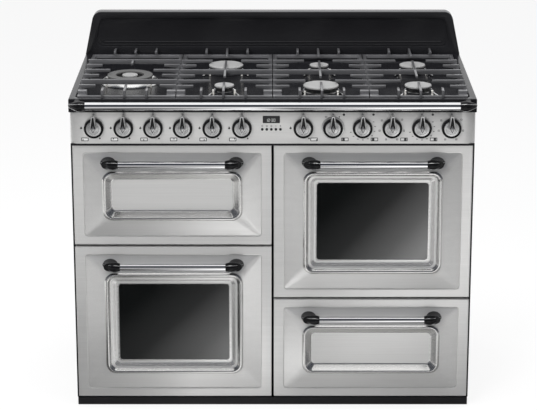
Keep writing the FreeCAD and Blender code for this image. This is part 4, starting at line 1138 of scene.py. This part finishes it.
# The wide burner at the left has a second ring of flames round the first
x, y = ring_burner[0], y_edge + ring_burner[1]
profile = [
    (0, 880.3), (82, 880.3), (83, 881.2), (82.2, 882.6), (74.8, 889.8),
    (72.6, 890.4), (69, 888), (66, 884.6), (0, 884.4),
]
turned(dish, profile, (x, y, 0), 72)
burner_crown(crowns, x, y, 19)
burner_cap(caps, x, y, 22)
teeth += [flame_ports(x, y, 61, 84), flame_ports(x, y, 18, 26)]
profile = [
    (42, crown_bottom), (61, crown_bottom), (62, 885), (59, 888), (59, 896),
    (61, crown_top), (42, crown_top),
]
turned(crowns, profile, (x, y, 0), 72, hoop=True)
profile = [
    (39, cap_bottom), (63, cap_bottom), (64, 898.2), (64, 900.8), (63, 902.4),
    (61, cap_top), (42, cap_top), (40, 902.4), (39, 900.8),
]
turned(wide_cap, profile, (x, y, 0), 72, hoop=True)
fit("burner_bases", bases, "cooker", "black_enamel")
fit("wide_burner_dish", dish, "cooker", "burner_alloy", "burner_bodies", finish="polished_alloy")
# Painted highlights in front of each burner, in bright metal
fit("burner_highlight_rods", highlight_rods, "cooker", "burner_alloy", finish="highlight_metal")
fit("burner_crowns", joined([made_mesh(crowns), *teeth]), "cooker", "burner_alloy")
fit("burner_cap_discs", caps, "cooker", "cap_enamel", "burner_caps")
fit("wide_burner_cap", wide_cap, "cooker", "cap_enamel", finish="dark_cap_enamel")


# Pan supports

for i in range(4):
    node = f"pan_support_{i + 1}"
    fit(node + "_casting", softened(node, 1), node, "cast_iron", node)


# Inside the ovens

element_rod = 3.4
element_front, element_back, element_rear = -119.5, 120.5, 180.5
element_pitch = 60
left_middle, right_middle = -274, 274
grill_element_z, lower_element_z = 698, 406.5
ring_element_y, ring_element_z, ring_element_radius = 167, 543, 80
shelf_rod, shelf_wire, shelf_wires = 3, 1.8, 9


def limits(node):
    """The lowest and highest corner of a solid, in millimetres."""
    corners = [Vector(corner) / MM for corner in nodes[node].bound_box]
    return corners[0], corners[6]


def terminal_plate(work, x, z):
    """The plate behind an element, with its two screws."""
    slab(work, (x - 30, 181, z - 13), (x + 30, 184, z + 13), 0.8)
    profile = [(0, -181.2), (3.6, -181.2), (3.6, -179.4), (2.4, -178.6), (0, -178.6)]
    for px in (-20, 20):
        turned(work, profile, (x + px, 0, z), 16, "Y")


elements = bmesh.new()
for z in (grill_element_z, lower_element_z):
    xs = [left_middle + element_pitch * (i - 2.5) for i in range(6)]
    path = [(xs[0], element_rear, z)]
    for i, x in enumerate(xs):
        ends = (element_front, element_back) if i % 2 else (element_back, element_front)
        path += [(x, ends[0], z), (x, ends[1], z)]
    path.append((xs[-1], element_rear, z))
    bent_rod(elements, filleted(path, 22, 8), element_rod)
    bent_rod(elements, [path[0], path[-1]], element_rod)
    terminal_plate(elements, left_middle, z)
ring = []
for k in range(72):
    across = ring_element_radius * math.cos(k * math.pi / 36)
    up = ring_element_radius * math.sin(k * math.pi / 36)
    ring.append((right_middle + across, ring_element_y, ring_element_z + up))
bent_rod(elements, ring, element_rod, closed=True)
ring_top = ring_element_z + ring_element_radius
bent_rod(elements, [(right_middle, ring_element_y, ring_top), (right_middle, 182, ring_top)], 3)
terminal_plate(elements, right_middle, ring_top)
fit("element_rods", elements, "cooker", "element_steel", "heating_elements")

for node in ("left_shelf", "right_shelf"):
    low, high = limits(node)
    middle = (low + high) / 2
    x0, x1, y0, y1 = low.x + shelf_rod, high.x - shelf_rod, low.y + shelf_rod, high.y - shelf_rod
    corners = facing_up(oblong(x0, x1, y0, y1), middle.z)
    frame_rod = bmesh.new()
    bent_rod(frame_rod, filleted([corners[-1], *corners, corners[0]], 10, 6)[1:-1], shelf_rod, closed=True)
    step = (x1 - x0) / (shelf_wires + 1)
    wires = row_of_rods.make(
        Count=shelf_wires,
        Start=((x0 + step) * MM, middle.y * MM, middle.z * MM),
        Step=(step * MM, 0.0, 0.0),
        Radius=shelf_wire * MM,
        Length=(y1 - y0) * MM,
        Turn=(math.pi / 2, 0.0, 0.0),
        Sides=12,
        Finish=finishes["chrome"],
    )
    fit(node + "_wires", joined([made_mesh(frame_rod), wires]), node, "chrome", node)

# Pieces that keep their solid's shape, with the width of the rounding on their edges
for node, body, width in (
    ("shelf_ladders", "cooker", 1.1),
    ("fan_unit", "cooker", 0.4),
    ("fan_impeller", "fan_impeller", 0.3),
    ("grill_door_liner", "grill_door", 0.8),
    ("left_door_liner", "left_door", 0.8),
    ("right_door_liner", "right_door", 0.8),
    ("drawer_box", "drawer", 0.5),
    ("plinth", "cooker", 0.8),
    ("side_panels", "cooker", 0.5),
):
    fit(node + "_soft", softened(node, width), body, slots[node], node)

back_face = 299.8
screw_rows = (60, 430, 800)
screws_in_row, screw_spacing = 7, 170
screw_radius, screw_height = 5, 2.4
screws = []
for z in screw_rows:
    start = -screw_spacing * (screws_in_row - 1) / 2
    row = row_of_screws.make(
        Count=screws_in_row,
        Start=(start * MM, back_face * MM, z * MM),
        Step=(screw_spacing * MM, 0.0, 0.0),
        Radius=screw_radius * MM,
        Height=screw_height * MM,
        Turn=(-math.pi / 2, 0.0, 0.0),
        Finish=finishes["zinc_steel"],
    )
    screws.append(row)
fit("back_panel_screws", joined(screws), "cooker", "zinc_steel")


# Clock buttons

for i, x in enumerate(button_xs):
    work = bmesh.new()
    profile = [(0, -6), (3.7, -6), (3.75, 1.4), (3.4, 2.2), (2.6, 2.5), (0, 2.3)]
    turned(work, profile, (x, y_panel, button_height), 28, "Y")
    body = f"clock_button_{i + 1}"
    fit(body + "_cap", work, body, "button_steel", body)


# Studio


def studio_world():
    """A dim room that is light above and behind the cooker, and white to the camera."""
    world = bpy.data.worlds.new("studio")
    bpy.context.scene.world = world
    world.use_nodes = True
    tree = world.node_tree
    tree.nodes.clear()
    direction = Shade(tree, tree.nodes.new("ShaderNodeTexCoord").outputs["Generated"])
    height = direction.part(2) * 0.5 + 0.5
    stops = [(0.0, 0.8), (0.49, 0.3), (0.5, (0.16, 0.16, 0.17)), (0.6, (0.16, 0.165, 0.18))]
    stops += [(0.7, (0.05, 0.055, 0.068)), (0.95, (0.06, 0.065, 0.078)), (0.965, 1.3)]
    room = height.node("ShaderNodeValToRGB", {"stops": stops}, {0: height})
    room = direction.part(1).above(0.2, 0.2).between(room, (0.95, 0.95, 0.96))
    path = tree.nodes.new("ShaderNodeLightPath")
    seen = Shade(tree, path.outputs["Is Camera Ray"]) + Shade(tree, path.outputs["Is Transmission Ray"])
    colour = seen.between(room, (1.0, 1.0, 1.0))
    light = colour.node("ShaderNodeBackground", {}, {"Color": colour, "Strength": 1.0})
    tree.links.new(light.socket, tree.nodes.new("ShaderNodeOutputWorld").inputs[0])


def floor_sheen(place):
    """How bright the floor looks in the cooker's steel and enamel, by place: a painted pattern of light and
    shade in a glow that only reflections see.
    """
    across, along = place.part(0), place.part(1)
    right = across.above(0.0, 0.1)
    slant = (across * 3.0 - right * 0.9 + along + 4.0) * 0.2
    stops = [(0.0, 0.6), (0.12, 0.5), (0.2, 0.01), (0.31, 0.01), (0.43, 0.2)]
    stops += [(0.53, 1.0), (0.6, 2.2), (0.69, 1.7), (0.8, 0.8), (1.0, 0.7)]
    sheen = slant.node("ShaderNodeValToRGB", {"stops": stops}, {0: slant})
    near = (along + right * 1.08).above(-1.75, 0.2)
    sheen = sheen * near + (1.0 - near) * (across.above(-0.1, 0.45) * 0.6 + 0.95)
    sheen = sheen * (1.0 - right * along.above(-1.15, 0.25) * (0.62 - across * 0.5))
    off_centre = across.maths("ABSOLUTE", across, 0.0)
    sheen = sheen * (1.0 - off_centre.above(1.7, 0.8) * 0.8)
    sheen = sheen * (1.0 - off_centre.above(1.0, 0.6) * (1.0 - along.above(-2.3, 0.3)) * 0.6)
    # Darker just before the cooker: a painted shadow of the cooker in the glow
    sheen = sheen * (1.0 - along.above(-0.55, 0.35) * 0.7)
    beside = along.above(-1.0, 0.3)
    sheen = sheen + beside * (0.0 - across).above(1.5, 0.5) * 1.1 + beside * across.above(1.5, 0.5) * 0.4
    return sheen * (along.above(-4.9, 0.6) * 0.85 + 0.15)


def studio_floor():
    """A white floor, with a painted sheen of light and shade of its own for what mirrors it."""
    work = bmesh.new()
    size = 14.0
    work.faces.new([work.verts.new(corner) for corner in facing_up(around(0.0, 0.0, size, size), 0.0)])
    mesh = plain_mesh(work, "floor")
    floor = linked("floor", mesh)
    material = bpy.data.materials.new("floor")
    material.use_nodes = True
    tree = material.node_tree
    tree.nodes.clear()
    path = tree.nodes.new("ShaderNodeLightPath")
    seen = Shade(tree, path.outputs["Is Camera Ray"]) * 0.85
    mirrored = Shade(tree, path.outputs["Is Glossy Ray"]) * 0.98
    sheen = floor_sheen(Shade(tree, tree.nodes.new("ShaderNodeTexCoord").outputs["Object"]))
    matte = seen.node("ShaderNodeBsdfDiffuse", {}, {"Color": (0.86, 0.86, 0.86, 1.0)})
    white = seen.node("ShaderNodeEmission", {}, {"Color": (1.0, 1.0, 1.0, 1.0), "Strength": 1.0})
    glow = seen.node("ShaderNodeEmission", {}, {"Color": (1.0, 1.0, 1.0, 1.0), "Strength": sheen})
    reflected = seen.node("ShaderNodeMixShader", {}, {0: mirrored, 1: matte, 2: glow})
    mixed = seen.node("ShaderNodeMixShader", {}, {0: seen, 1: reflected, 2: white})
    tree.links.new(mixed.socket, tree.nodes.new("ShaderNodeOutputMaterial").inputs[0])
    mesh.materials.append(material)
    floor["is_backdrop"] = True


def studio_lamp(name, place, target, size, power):
    lamp = bpy.data.lights.new(name, "AREA")
    lamp.shape = "RECTANGLE"
    lamp.size, lamp.size_y = size
    lamp.energy = power
    holder = linked(name, lamp)
    holder.location = place
    holder.rotation_euler = (Vector(target) - Vector(place)).to_track_quat("-Z", "Y").to_euler()
    holder.visible_glossy = False


studio_world()
studio_floor()
studio_lamp("overhead", (0.0, -0.6, 3.6), (0.0, 0.0, 0.6), (3.2, 1.4), 130.0)
studio_lamp("front", (-1.7, -3.9, 2.9), (0.0, 0.0, 0.5), (1.8, 1.6), 125.0)

camera_pitch = 16.6
camera = bpy.data.cameras.new("camera")
camera.sensor_width = 36.0
camera.lens = 140.4
camera.shift_x = -0.0077
holder = linked("camera", camera)
holder.location = (0.0, -5.753, 2.23)
holder.rotation_euler = (math.radians(90.0 - camera_pitch), 0.0, 0.0)
bpy.context.scene.camera = holder
bpy.context.scene.view_settings.view_transform = "Standard"

low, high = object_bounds()
